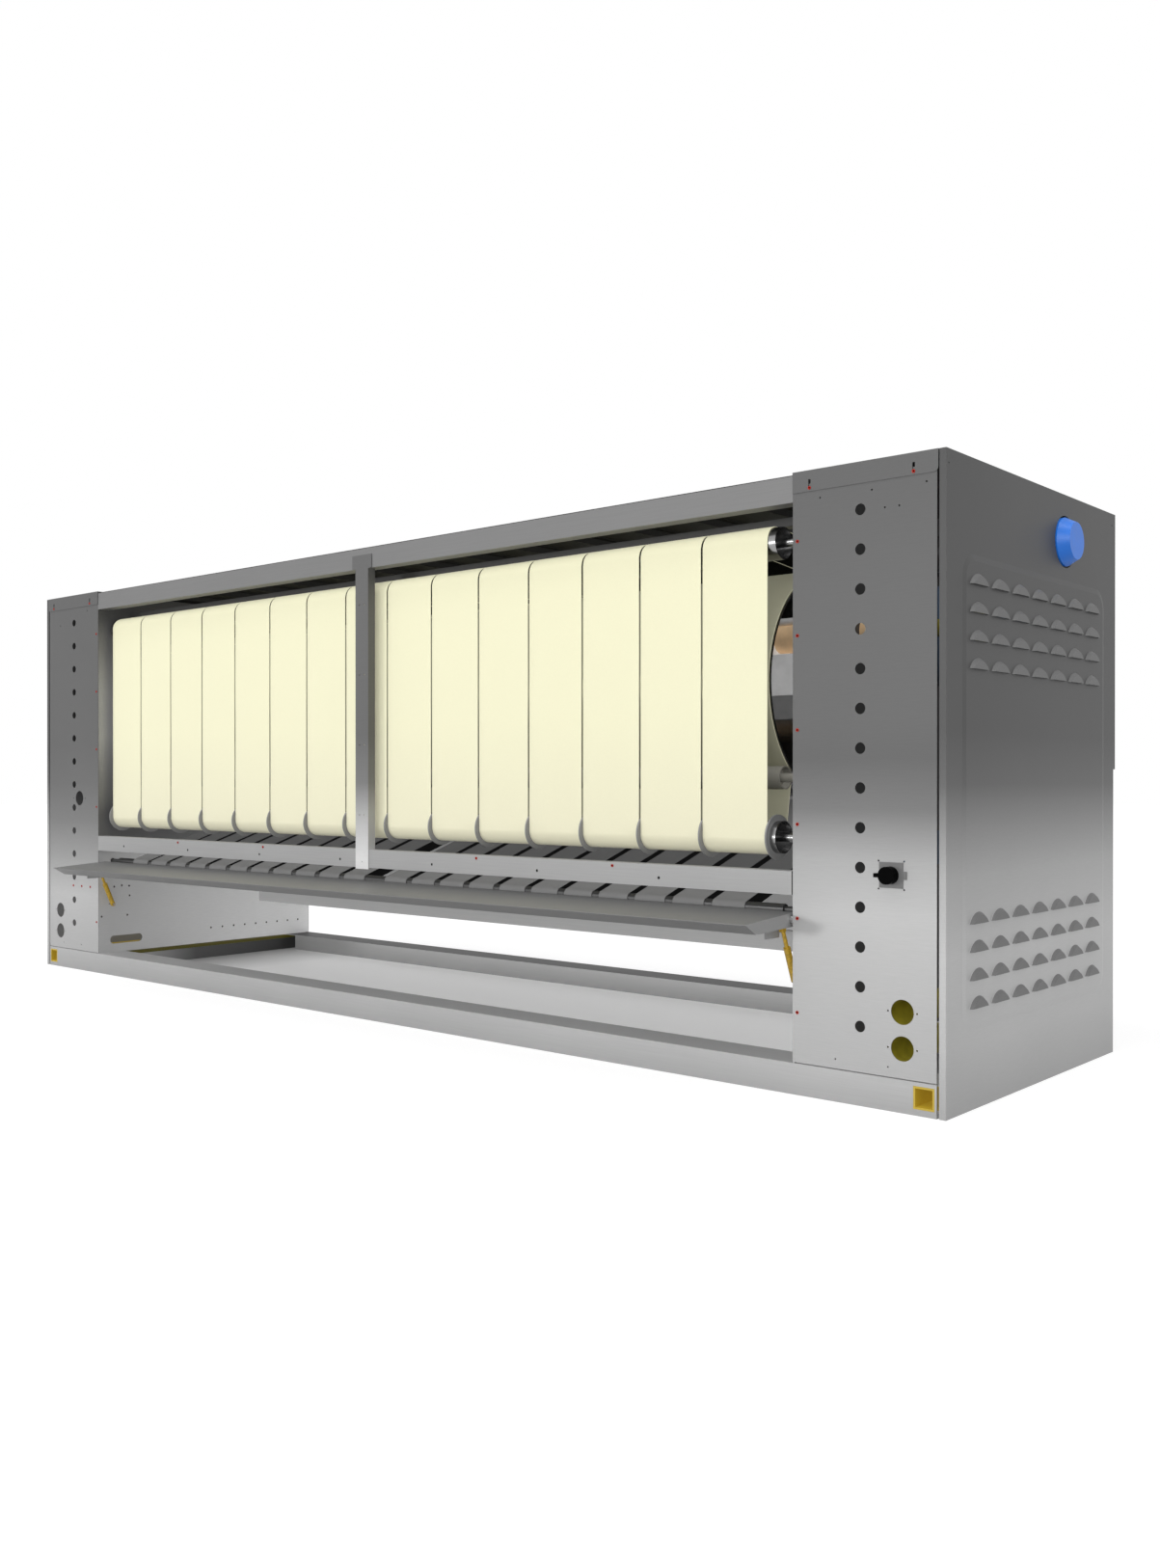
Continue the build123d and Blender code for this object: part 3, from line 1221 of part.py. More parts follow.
def main_drive():
    """Geared motor in the left cabinet that turns the lower press roller by a chain."""
    y, z = at(gearmotor_setback), gearmotor_z
    shaft_end = chain_x - chain_width
    write("motor_sprocket", sprocket(motor_sprocket_teeth, chain_x, y, z, shaft_r)
          + rod_x(shaft_end - gearbox_bore, chain_x + sprocket_thickness, y, z, shaft_r))
    pulleys = [(at(lower_roller_setback), lower_roller_z, 1), (y, z, 1)]
    radii = [tip_radius(roller_sprocket_teeth), tip_radius(motor_sprocket_teeth)]
    chain = loop_face(pulleys, radii, belt_seat, chain_thickness)
    middle = chain_x + sprocket_thickness / 2
    write("drive_chain", along_x(chain, middle - chain_width / 2, middle + chain_width / 2))
    half = gearbox / 2
    box = block(shaft_end - gearbox, shaft_end, y - half, y + half, z - half, z + half)
    box -= rod_x(shaft_end - gearbox_bore - 1, shaft_end + 1, y, z, shaft_r + shaft_fit)
    motor = rod_x(-x_end + gearmotor_end_gap, shaft_end - gearbox, y, z, gearmotor_r)
    arm = block(shaft_end - gearbox, -x_wall - plate, y - half, y + half, z - half - plate, z - half)
    arm += block(-x_wall - 2 * plate, -x_wall - plate, y - half, y + half,
                 z - half - gearbox, z - half)
    write("main_gearmotor", box + motor, arm)


def side_gearmotor(y, z, journal):
    """Small geared motor on the end of a roller's shaft in the right cabinet."""
    half = side_gearbox / 2
    x0 = journal_x - journal_end / 2
    box = block(x0, x0 + side_gearbox, y - half, y + half, z - half, z + half)
    box -= rod_x(x0 - 1, journal_x + seam, y, z, journal + shaft_fit)
    motor = block_cylinder(x0 + half, y, z + half, z + half + side_motor_length, side_motor_r)
    posts = [rod_x(x_wall + plate, x0, y + side * (half - fan_shaft_r), z - half + fan_shaft_r,
                   fan_shaft_r) for side in (-1, 1)]
    return box + motor + posts


def side_drives():
    delivery_motor = side_gearmotor(at(delivery_rear_setback), delivery_rear_z, delivery_shaft_r)
    feed_motor = side_gearmotor(feed_nip_y, feed_nip_z, shaft_r)
    write("tape_gearmotors", delivery_motor, left_of(feed_motor))


# ---------------------------------------------------------------- gas
def gas_line():
    """Gas pipe from the two front ports up to the burner head in the right cabinet."""
    x = x_end - service_port_inset
    y1 = drum_y
    z_burner = drum_z + burner_rise
    riser = block_cylinder(x, y1, service_port_z[0] - gas_riser_r, z_burner + gas_riser_r,
                           gas_riser_r)
    head_x = x_wall + plate + end_plate + burner_head_length
    pipes = riser + rod_x(head_x, x, y1, z_burner, feed_pipe_r)
    for z in service_port_z:
        pipes += rod_y(x, y_front + sheet + gas_pipe_gap, y1, z, gas_pipe_r)
    for z in service_port_z:
        pipes -= rod_y(x, y_front, y1, z, gas_pipe_r - burner_wall)
    valve = (block(x - gas_valve / 2, x + gas_valve / 2, y1 - gas_valve / 2, y1 + gas_valve / 2,
                   gas_valve_z, gas_valve_z + 1.5 * gas_valve)
             - block_cylinder(x, y1, gas_valve_z - 1, gas_valve_z + 2 * gas_valve,
                              gas_riser_r))
    write("gas_line", pipes, valve)


# ---------------------------------------------------------------- switch and operator's console
def main_switch():
    x, z = x_end - switch_inset, switch_z
    half = switch_plate / 2
    face = y_front - switch_plate_thickness
    backing = block(x - half, x + half, face, y_front, z - half, z + half)
    tab = block(x + half, x + half + switch_tab, face, y_front, z - switch_tab, z + switch_tab)
    body = block(x - switch_body / 2, x + switch_body / 2, y_front + sheet + seam,
                 y_front + sheet + switch_body, z - switch_body / 2, z + switch_body / 2)
    neck = rod_y(x, y_front, y_front + sheet + seam, z, 2 * knob_stem_r)
    bore = rod_y(x, face - 1, y_front + switch_body / 2, z, knob_stem_r + shaft_fit)
    write("main_switch_body", backing + tab + body + neck - bore)
    knob_back = face - seam
    knob = rod_y(x, knob_back - knob_height, knob_back, z, knob_r)
    lever = block(x - knob_lever, x, knob_back - knob_height, knob_back - knob_height / 3,
                  z - knob_stem_r, z + knob_stem_r)
    stem = rod_y(x, knob_back, y_front + switch_body / 2 - 1, z, knob_stem_r)
    write("main_switch_knob", knob + lever + stem)


def push_button(x, z, r, face):
    """Cap with a stem that slides into the console."""
    return (rod_y(x, face + button_travel, face + button_travel + button_height, z, r)
            + rod_y(x, face - 2 * button_travel, face + button_travel, z, r / 3))


def console():
    """Operator's box on the feeding side of the right cabinet."""
    x0 = x_wall + console_inset
    face = y_rear + console_depth
    z1 = console_z + console_height
    body = block(x0, x0 + console_width, y_rear, face, console_z, z1)
    x_mid = x0 + console_width / 2
    screen = block(x_mid - screen_width / 2, x_mid + screen_width / 2, face - sheet, face,
                   z1 - screen_top_gap - screen_height, z1 - screen_top_gap)
    buttons = {"start_button": (x_mid - console_width / 3, button_r),
               "stop_button": (x_mid, button_r),
               "emergency_stop_button": (x_mid + console_width / 3, stop_button_r)}
    z = console_z + button_row
    for name, (x, r) in buttons.items():
        body -= rod_y(x, face - 3 * button_travel, face + 1, z, r / 3 + shaft_fit)
        write(name, push_button(x, z, r, face))
    write("control_console", body - screen, screen)


os.makedirs("parts", exist_ok=True)
base()
frame_beams()
centre_post()
end_walls()
bearings()
drum_carriers()
drum()
burner()
press_rollers()
ironing_belts()
delivery()
shelf()
hinge_pins()
gas_springs()
feed_conveyor()
feed_guard()
feed_covers()
covers()
exhaust()
main_drive()
side_drives()
gas_line()
main_switch()
console()
print_motion()
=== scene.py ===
"""Looks of the flatwork ironer: materials, cloth belts and tapes, light, floor and camera.

Metres, in the part's own frame: +X to the right end, +Y to the feeding side, +Z up.
"""
import math

import bmesh
import bpy
from mathutils import Matrix, Vector, noise

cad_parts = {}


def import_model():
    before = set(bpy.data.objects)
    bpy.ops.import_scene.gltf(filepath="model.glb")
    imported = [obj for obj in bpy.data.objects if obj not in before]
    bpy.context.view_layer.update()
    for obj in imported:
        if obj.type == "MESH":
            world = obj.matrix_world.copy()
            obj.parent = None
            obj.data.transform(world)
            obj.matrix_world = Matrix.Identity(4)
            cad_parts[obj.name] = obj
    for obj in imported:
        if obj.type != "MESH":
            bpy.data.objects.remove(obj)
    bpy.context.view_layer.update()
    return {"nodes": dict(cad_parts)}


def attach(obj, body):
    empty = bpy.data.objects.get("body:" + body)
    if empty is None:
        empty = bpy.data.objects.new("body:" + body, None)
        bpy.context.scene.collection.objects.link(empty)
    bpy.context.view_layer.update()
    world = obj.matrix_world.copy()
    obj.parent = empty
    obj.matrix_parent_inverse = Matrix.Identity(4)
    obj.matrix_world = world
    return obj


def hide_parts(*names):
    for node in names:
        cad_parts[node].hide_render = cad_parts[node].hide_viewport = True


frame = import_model()
NODES = frame["nodes"]

# ---------------------------------------------------------------- places in the part
RIGHT, LEFT, REAR, UP = (1, 0, 0), (-1, 0, 0), (0, 1, 0), (0, 0, 1)
X_END, Y_FRONT, Y_REAR, Z_TOP = 2.150, -0.556, 0.556, 1.62
X_WALL = 1.720                          # face of each end wall that looks into the opening
LOUVRES = X_END + 0.0031                # the hoods lie past this, the flat panel before it
WALL_MIDDLE = X_WALL + 0.003            # in an end wall's plate, before its cabinet side
UPSTAND = X_WALL - 0.0064               # just short of the inner faces of the pan's upstands
BEAM_END = X_WALL - 0.0032              # the crossbeam's last millimetres are in shade past this
BEHIND_BEAM = Y_FRONT + 0.106           # between the front top beam and the rail behind it
REAR_FLANGE = Y_REAR - 0.1264           # just past the rear channel's inner face
REAR_FACE = Y_REAR - 0.001              # just short of the rear channel's outer face
# behind this plane the rivet nuts' bores carry painted shade
NUT_BORE = Y_FRONT + 0.0004             # the rivet nuts' collars stand in front of this
TUBES_APART = 1.9                       # between the inner and the outer lifting tubes
# between these the press rollers carry the belts' painted shade
BARE_RIGHT, BARE_LEFT = 1.45, 1.50      # the belts darken the press rollers between these

DRUM = (-0.171, 1.090, 0.328)           # y, z, radius
PRESS_R = 0.04445
PRESS_PLACES = [(Y_FRONT + 0.095, 0.665), (Y_FRONT + 0.095, 1.460), (Y_FRONT + 0.735, 1.400)]
NIP_R, NIP_ANGLE, NIP_GAP = 0.032, math.radians(226.5), 0.0005
SEAT = 0.0003                           # between a cloth band and what it lies on
BELT_COUNT, BELT_RIGHT, BELT_PITCH, BELT_SLOT, BELT_T = 15, 1.613, 0.220, 0.006, 0.0025
DELIVERY_R, DELIVERY_T = 0.014, 0.002
DELIVERY_PLACES = [(Y_FRONT + 0.068, 0.4746), (Y_FRONT + 0.520, 0.628)]
DELIVERY_PAIRS, DELIVERY_PITCH, DELIVERY_WIDTH, DELIVERY_MIDDLE_GAP = 11, 0.1371, 0.109, 0.040
FEED_R, FEED_T = 0.030, 0.0016
FEED_REACH = 0.205                      # behind the rear face
FEED_PLACES = [(0.133987, 1.322002), (Y_REAR + FEED_REACH - FEED_R - FEED_T - SEAT, 1.085)]
FEED_COUNT, FEED_PITCH, FEED_WIDTH = 30, 0.110, 0.080


# ---------------------------------------------------------------- node tree helpers
class Tree:
    """A material's node tree with short calls to add and join nodes."""

    MIX_A, MIX_B, MIX_OUT = 6, 7, 2     # a Mix node's sockets for colours
    RIM = 0.0004                        # half the width of a dot's soft edge

    def __init__(self, name):
        self.mat = bpy.data.materials.new(name)
        self.mat.use_nodes = True
        self.nodes = self.mat.node_tree.nodes
        self.links = self.mat.node_tree.links
        self.bsdf = next(n for n in self.nodes if n.type == "BSDF_PRINCIPLED")
        self.place = self.add("ShaderNodeTexCoord").outputs["Object"]

    def add(self, kind, **values):
        node = self.nodes.new(kind)
        for key, value in values.items():
            setattr(node, key, value)
        return node

    def join(self, out, socket):
        self.links.new(out, socket)
        return self

    def scaled(self, scale, turn=(0, 0, 0)):
        node = self.add("ShaderNodeMapping")
        node.inputs["Scale"].default_value = scale
        node.inputs["Rotation"].default_value = turn
        self.join(self.place, node.inputs["Vector"])
        return node.outputs["Vector"]

    def noise(self, scale, detail=4.0, stretch=(1, 1, 1)):
        node = self.add("ShaderNodeTexNoise")
        node.inputs["Scale"].default_value = scale
        node.inputs["Detail"].default_value = detail
        self.join(self.scaled(stretch), node.inputs["Vector"])
        return node.outputs["Fac"]

    def ramp(self, fac, stops):
        node = self.add("ShaderNodeValToRGB")
        ramp = node.color_ramp
        while len(ramp.elements) < len(stops):
            ramp.elements.new(0.5)
        for element, (where, colour) in zip(ramp.elements, stops):
            element.position = where
            element.color = (*colour, 1.0)
        self.join(fac, node.inputs["Fac"])
        return node.outputs["Color"]

    def height_ramp(self, z0, z1, stops):
        split = self.add("ShaderNodeSeparateXYZ")
        self.join(self.place, split.inputs[0])
        return self.ramp(self.span(split.outputs["Z"], z0, z1), stops)

    def span(self, value, low, high):
        """0 to 1 while value goes from low to high."""
        node = self.add("ShaderNodeMapRange")
        node.inputs["From Min"].default_value = low
        node.inputs["From Max"].default_value = high
        self.join(value, node.inputs["Value"])
        return node.outputs["Result"]

    def facing(self, direction, low=0.6, high=0.8):
        """1 on faces that look along a direction of the object."""
        normal = self.add("ShaderNodeTexCoord").outputs["Normal"]
        dot = self.add("ShaderNodeVectorMath", operation="DOT_PRODUCT")
        dot.inputs[1].default_value = direction
        self.join(normal, dot.inputs[0])
        return self.span(dot.outputs["Value"], low, high)

    def side_of(self, direction, middle, soft):
        """0 on one side of a plane and 1 on the other, soft being half the change's width."""
        dot = self.add("ShaderNodeVectorMath", operation="DOT_PRODUCT")
        dot.inputs[1].default_value = direction
        self.join(self.place, dot.inputs[0])
        return self.span(dot.outputs["Value"], middle - soft, middle + soft)

    def near(self, places, radius, plane):
        """1 within a radius of any of the places, seen at right angles to a plane."""
        flat = self.add("ShaderNodeVectorMath", operation="MULTIPLY")
        flat.inputs[1].default_value = plane
        self.join(self.place, flat.inputs[0])
        least = None
        for place in places:
            gap = self.add("ShaderNodeVectorMath", operation="DISTANCE")
            gap.inputs[1].default_value = [p * k for p, k in zip(place, plane)]
            self.join(flat.outputs[0], gap.inputs[0])
            if least is None:
                least = gap.outputs["Value"]
                continue
            low = self.add("ShaderNodeMath", operation="MINIMUM")
            self.join(least, low.inputs[0]).join(gap.outputs["Value"], low.inputs[1])
            least = low.outputs[0]
        return self.span(least, radius + self.RIM, radius - self.RIM)

    def mix(self, a, b, fac=0.5, mode="MIX"):
        node = self.add("ShaderNodeMix", data_type="RGBA", blend_type=mode)
        for value, key in ((a, self.MIX_A), (b, self.MIX_B)):
            if isinstance(value, tuple):
                node.inputs[key].default_value = (*value, 1.0)
            else:
                self.join(value, node.inputs[key])
        if isinstance(fac, float):
            node.inputs[0].default_value = fac
        else:
            self.join(fac, node.inputs[0])
        return node.outputs[self.MIX_OUT]

    def bump(self, height, strength, distance=0.001):
        node = self.add("ShaderNodeBump")
        node.inputs["Strength"].default_value = strength
        node.inputs["Distance"].default_value = distance
        self.join(height, node.inputs["Height"])
        self.join(node.outputs["Normal"], self.bsdf.inputs["Normal"])
        return self

    def colour(self, out):
        return self.join(out, self.bsdf.inputs["Base Color"])

    def rough(self, low, high, fac):
        span = self.add("ShaderNodeMapRange")
        span.inputs["To Min"].default_value = low
        span.inputs["To Max"].default_value = high
        self.join(fac, span.inputs["Value"])
        return self.join(span.outputs["Result"], self.bsdf.inputs["Roughness"])

    def plain(self, **values):
        for key, value in values.items():
            self.bsdf.inputs[key.replace("_", " ")].default_value = value
        return self


PLAIN_TINT = (1.0, 1.0, 1.0)


def grey(level, tint=PLAIN_TINT):
    """Linear grey for a display level from 0 to 255."""
    c = level / 255.0
    linear = c / 12.92 if c <= 0.04045 else ((c + 0.055) / 1.055) ** 2.4
    return tuple(linear * t for t in tint)


def greys(*stops, tint=PLAIN_TINT):
    """A ramp's stops from pairs of a place and a display level."""
    return [(where, grey(level, tint)) for where, level in stops]


def even(level, tint=PLAIN_TINT):
    """A ramp's stops for one grey all over."""
    return greys((0.0, level), (1.0, level), tint=tint)


def shaded_ends(middle, right_level, left_level):
    """brushed()'s painted shade greys for all that lies further out than middle at either end."""
    return [(RIGHT, middle, right_level), (LEFT, middle, left_level)]


# ---------------------------------------------------------------- materials
GRAIN_LEVEL = (2.0, 2.0, 60.0)
GRAIN_ALONG = (0.5, 30.0, 30.0)
GRAIN_ROUND = (80.0, 2.0, 2.0)
PLANE_EDGE = 0.0003                     # half the width of the change at a beyond plane
# radius of the painted shade round small holes
HOLE_SHADE_R = 0.0042


def brushed(name, stops, grain=GRAIN_LEVEL, rough=(0.42, 0.55), metallic=0.45, faces=(),
            painted_light_beyond=(), shade_across=None, hole_shades=None):
    """Satin sheet metal: a height ramp of painted light and shade under a fine straight grain.

    faces gives painted light and shade to faces that look along a direction, the next argument
    paints it on all past a plane, the next paints shade along Y, from a share of its tone at one
    depth to all of it at another, and the last paints shade on the rims of small holes and rivets.
    """
    t = Tree(name)
    base = t.height_ramp(0.0, Z_TOP, stops)
    if shade_across:
        y0, y1, share = shade_across
        depth = t.side_of(REAR, (y0 + y1) / 2, (y1 - y0) / 2)
        dim = t.ramp(depth, [(0.0, (share,) * 3), (1.0, (1.0,) * 3)])
        base = t.mix(base, dim, 1.0, "MULTIPLY")
    for direction, level in faces:
        base = t.mix(base, grey(level), t.facing(direction))
    for direction, middle, level in painted_light_beyond:
        base = t.mix(base, grey(level), t.side_of(direction, middle, PLANE_EDGE))
    if hole_shades:
        places, plane, colour = hole_shades
        base = t.mix(base, colour, t.near(places, HOLE_SHADE_R, plane))
    streak = t.noise(14.0, 6.0, grain)
    cloud = t.noise(1.6, 3.0)
    shade = t.ramp(streak, [(0.25, (0.95,) * 3), (0.75, (1.05,) * 3)])
    soft = t.ramp(cloud, [(0.3, (0.97,) * 3), (0.7, (1.03,) * 3)])
    t.colour(t.mix(t.mix(base, shade, 1.0, "MULTIPLY"), soft, 1.0, "MULTIPLY"))
    t.rough(*rough, streak).bump(streak, 0.05, 0.0003)
    t.plain(Metallic=metallic, Specular_IOR_Level=0.2)
    return t.mat


def pan_steel():
    """Bright bottom sheet with painted shade, darker towards its left end, and upstands whose
    painted shade darkens to the rear.
    """
    t = Tree("pan_steel")
    shade_middle, shade_half = -1.40, 0.30
    along = t.side_of(RIGHT, shade_middle, shade_half)
    base = t.ramp(along, greys((0.0, 150), (0.35, 200), (0.75, 250), (1.0, 255)))
    upstand_shade = t.ramp(t.side_of(REAR, 0.0, 0.4), greys((0.0, 180), (0.4, 84), (1.0, 48)))
    for direction in (RIGHT, LEFT):
        base = t.mix(base, upstand_shade, t.side_of(direction, UPSTAND, PLANE_EDGE))
    streak = t.noise(14.0, 6.0, (1.0, 24.0, 24.0))
    t.colour(base).rough(0.35, 0.5, streak).bump(streak, 0.05, 0.0003)
    t.plain(Metallic=0.0, Specular_IOR_Level=0.6)
    return t.mat


def tube_paint():
    """Yellow enamel, with painted shade, a dull dark olive, on the inner pair of tubes."""
    t = Tree("yellow_paint")
    patch = t.noise(30.0, 4.0)
    fresh = t.ramp(patch, [(0.3, (0.49, 0.35, 0.028)), (0.7, (0.55, 0.39, 0.032))])
    sides = [t.side_of(direction, TUBES_APART, 0.01) for direction in (RIGHT, LEFT)]
    outer = t.mix(*sides, 1.0, "ADD")
    t.colour(t.mix((0.10, 0.088, 0.004), fresh, outer)).rough(0.35, 0.5, patch)
    t.bump(patch, 0.08, 0.0004)
    return t.mat


def rivet_red():
    """Red collars with painted shade, near black, inside the bore behind their rims."""
    t = Tree("red_collar")
    patch = t.noise(30.0, 4.0)
    rim = t.ramp(patch, [(0.3, (0.40, 0.030, 0.020)), (0.7, (0.46, 0.035, 0.024))])
    t.colour(t.mix(rim, grey(2), t.side_of(REAR, NUT_BORE, 0.0002)))
    t.rough(0.5, 0.6, patch).bump(patch, 0.08, 0.0004)
    t.plain(Specular_IOR_Level=0.1)
    return t.mat


def painted(name, colour, rough=(0.35, 0.5), depth=0.06, scale=30.0, gloss=0.5):
    """Enamel with a slight unevenness in tone, gloss and surface."""
    t = Tree(name)
    patch = t.noise(scale, 4.0)
    dark = tuple(c * (1.0 - depth) for c in colour)
    lift = tuple(min(1.0, c * (1.0 + depth)) for c in colour)
    t.colour(t.ramp(patch, [(0.3, dark), (0.7, lift)]))
    t.rough(*rough, patch).bump(patch, 0.08, 0.0004)
    t.plain(Metallic=0.0, Specular_IOR_Level=gloss)
    return t.mat


def cloth(name, stops, thread, under=None, sheen=0.15):
    """Felt or webbing: a fine cross weave with slightly uneven yarn.
    Its greys change with height as painted light and shade.

    under is a plane and the grey of all that lies below it, which is painted shade.
    """
    t = Tree(name)
    base = t.height_ramp(0.0, Z_TOP, stops)
    if under:
        direction, middle, level = under
        base = t.mix(grey(level), base, t.side_of(direction, middle, 0.004))
    waves = []
    for axis in ("X", "Y"):
        wave = t.add("ShaderNodeTexWave", bands_direction=axis)
        wave.inputs["Scale"].default_value = thread
        wave.inputs["Distortion"].default_value = 1.5
        t.join(t.scaled((1, 1, 1), (0.6, 0, 0)), wave.inputs["Vector"])
        waves.append(wave.outputs["Fac"])
    weave = t.add("ShaderNodeMath", operation="MULTIPLY")
    t.join(waves[0], weave.inputs[0]).join(waves[1], weave.inputs[1])
    fibre = t.noise(420.0, 5.0)
    shade = t.ramp(fibre, [(0.3, (0.97,) * 3), (0.7, (1.0,) * 3)])
    t.colour(t.mix(base, shade, 1.0, "MULTIPLY"))
    height = t.add("ShaderNodeMath", operation="ADD")
    t.join(weave.outputs[0], height.inputs[0]).join(fibre, height.inputs[1])
    t.bump(height.outputs[0], 0.25, 0.0004)
    t.plain(Roughness=0.9, Sheen_Weight=sheen, Specular_IOR_Level=0.2 if sheen else 0.05)
    return t.mat


# Height ramps go from the floor to the top of the machine, in greys of painted light and shade.
panel_stops = greys((0.0, 166), (0.10, 170), (0.30, 176), (0.38, 160), (0.46, 114), (0.54, 96),
                    (0.60, 98), (1.0, 98))
left_stops = greys((0.0, 166), (0.10, 172), (0.20, 180), (0.30, 150), (0.40, 120), (0.50, 104),
                   (0.60, 98), (1.0, 98))
side_stops = greys((0.0, 160), (0.10, 176), (0.24, 180), (0.36, 162), (0.50, 98), (0.58, 84),
                   (1.0, 84))
post_stops = greys((0.0, 214), (0.34, 210), (0.42, 176), (0.50, 120), (0.60, 102), (1.0, 103))
wall_stops = greys((0.0, 244), (0.31, 236), (0.345, 132), (0.42, 124), (0.52, 160), (0.62, 196),
                   (0.74, 192), (0.85, 150), (0.93, 108), (1.0, 90))
beam_stops = greys((0.0, 160), (0.32, 152), (0.36, 148), (0.6, 122), (1.0, 124))
felt_stops = [(0.0, grey(240, (1.0, 0.955, 0.72))), (0.40, grey(244, (1.0, 0.965, 0.72))),
              (0.62, grey(250, (1.0, 0.975, 0.70))), (1.0, grey(251, (1.0, 0.975, 0.69)))]
CREAM = (1.0, 0.98, 0.72)
# The belts' inner side is painted shade: dim cream, near black on the top run.
felt_painted_shade_stops = (greys((0.0, 176), (0.878, 166), tint=CREAM)
                     + greys((0.886, 14), (1.0, 14)))

# Places of painted shade in small holes, on the end walls and on the crossbeam.
HOLE_ROW = [(0, Y_FRONT + 0.558 + 0.061 * i, 0.148) for i in range(9)]
WALL_HOLES = [(0, Y_FRONT + setback, z)
              for setback, z in ((0.074, 0.362), (0.110, 0.366), (0.145, 0.362), (0.147, 0.320),
                                 (0.0155, 0.238), (0.136, 0.237))]
BEAM_HOLES = [(1.2795 - 0.4664 * i, 0, 0.5445) for i in range(7)]
SEEN_ALONG_X, SEEN_ALONG_Y = (0, 1, 1), (1, 0, 1)
TAPE_SLOPE = 0.34                       # of the plane between the delivery tapes' two runs
TAPE_PLANE = DELIVERY_PLACES[0][1] - TAPE_SLOPE * DELIVERY_PLACES[0][0]


def sheet_metals():
    return {
        "panel": brushed("stainless_panel", panel_stops),
        "left_panel": brushed("stainless_left_panel", left_stops),
        # the louvre hoods carry an even painted shade grey
        "side": brushed("stainless_side", side_stops, painted_light_beyond=shaded_ends(LOUVRES, 108, 108)),
        "post": brushed("stainless_post", post_stops),
        # the walls: painted shade towards the front, on the cabinet side, and tinted dark red in
        # the holes
        "wall": brushed("stainless_wall", wall_stops, metallic=0.2, shade_across=(-0.5, 0.3, 0.62),
                        painted_light_beyond=shaded_ends(WALL_MIDDLE, 84, 90),
                        hole_shades=(HOLE_ROW + WALL_HOLES, SEEN_ALONG_X, (0.02, 0.004, 0.003))),
        # painted shade on the beams' parts behind the front top beam
        "beam": brushed("frame_steel", beam_stops, GRAIN_ALONG, painted_light_beyond=[(REAR, BEHIND_BEAM, 74)]),
        # roof: near black painted shade below, painted light on its top and ends
        "roof": brushed("roof_steel", even(6), (30.0, 0.5, 30.0), rough=(0.6, 0.8), metallic=0.0,
                        faces=[(UP, 112), (RIGHT, 40), (LEFT, 40)]),
        # crossbeam: painted shade at its right end and in its holes
        "crossbeam": brushed("crossbeam_steel", even(158), GRAIN_ALONG,
                             painted_light_beyond=[(RIGHT, BEAM_END, 8)],
                             hole_shades=(BEAM_HOLES, SEEN_ALONG_Y, grey(20))),
        # base: painted light on top faces, painted shade on the rear channel's inner side
        "base": brushed("base_steel", greys((0.0, 158), (0.045, 172), (1.0, 166)), GRAIN_ALONG,
                        faces=[(UP, 184)],
                        painted_light_beyond=[(REAR, REAR_FLANGE, 40), (REAR, REAR_FACE, 158)]),
        # shelf: painted light on the side skirts and its own grey on the lip
        "shelf": brushed("shelf_steel", even(120), GRAIN_ALONG,
                         faces=[(RIGHT, 155), (LEFT, 150), ((0, -0.6, -0.8), 119)]),
        "apron": brushed("apron_steel", even(152), GRAIN_ALONG),
        "pan": pan_steel(),
    }


def turned_metals():
    return {
        "drum": brushed("polished_drum", even(150), (60.0, 1.5, 1.5), (0.12, 0.2), 1.0),
        # the tape rollers' dark grey is painted shade for the gaps between the tapes
        "tape_roller": brushed("tape_roller_steel", even(84), GRAIN_ROUND, (0.3, 0.4), 0.8),
        # press rollers: painted shade under the belts, polished grey at the bare ends
        "press_roller": brushed("press_roller_steel", even(36), GRAIN_ROUND, (0.18, 0.3), 1.0,
                                painted_light_beyond=[(RIGHT, BARE_RIGHT, 150), (LEFT, BARE_LEFT, 150)]),
        "roller": brushed("turned_steel", greys((0.0, 176), (1.0, 170)), GRAIN_ROUND,
                          (0.18, 0.3), 1.0),
        "chain": brushed("chain_steel", even(96), rough=(0.35, 0.5)),
    }


def paints_and_plastics():
    matt = (0.5, 0.7)
    return {
        "yellow": tube_paint(),
        # dark olive: the yellow pipe with the cabinet's painted shade
        "gas": painted("gas_pipe_shaded_paint", (0.20, 0.17, 0.012), depth=0.2),
        "spring": painted("spring_paint", (0.42, 0.26, 0.015), depth=0.35, scale=160.0),
        "tan": painted("burner_tan", (0.78, 0.54, 0.31), rough=(0.6, 0.8), depth=0.1),
        "pipe": painted("grey_pipe", grey(186), rough=(0.4, 0.6)),
        "carriage": painted("carriage_grey", grey(236), rough=matt),
        "baffle": painted("baffle_grey", grey(130), rough=matt),
        # darkened olive grey: painted shade on the exit roller
        "exit": painted("exit_roller_shaded_grey", grey(130, (1.0, 0.97, 0.84)), rough=matt),
        "ring": painted("guide_ring_plastic", grey(136), rough=(0.45, 0.6)),
        "cast": painted("cast_bearing", grey(58), rough=(0.6, 0.8), depth=0.2, scale=120.0),
        "blue": painted("blue_plastic", (0.006, 0.165, 0.70), rough=(0.35, 0.45), depth=0.05),
        "red": rivet_red(),
        "black": painted("black_plastic", grey(2), gloss=0.02),
        "plate": painted("switch_plate_grey", grey(110), rough=(0.5, 0.6)),
        "motor": painted("motor_grey", (0.045, 0.075, 0.12)),
        "green": painted("green_plastic", (0.01, 0.26, 0.05), rough=(0.2, 0.3)),
        "stop": painted("red_plastic", (0.50, 0.012, 0.01), rough=(0.2, 0.3)),
        "console": painted("console_grey", grey(206), rough=(0.5, 0.6)),
    }


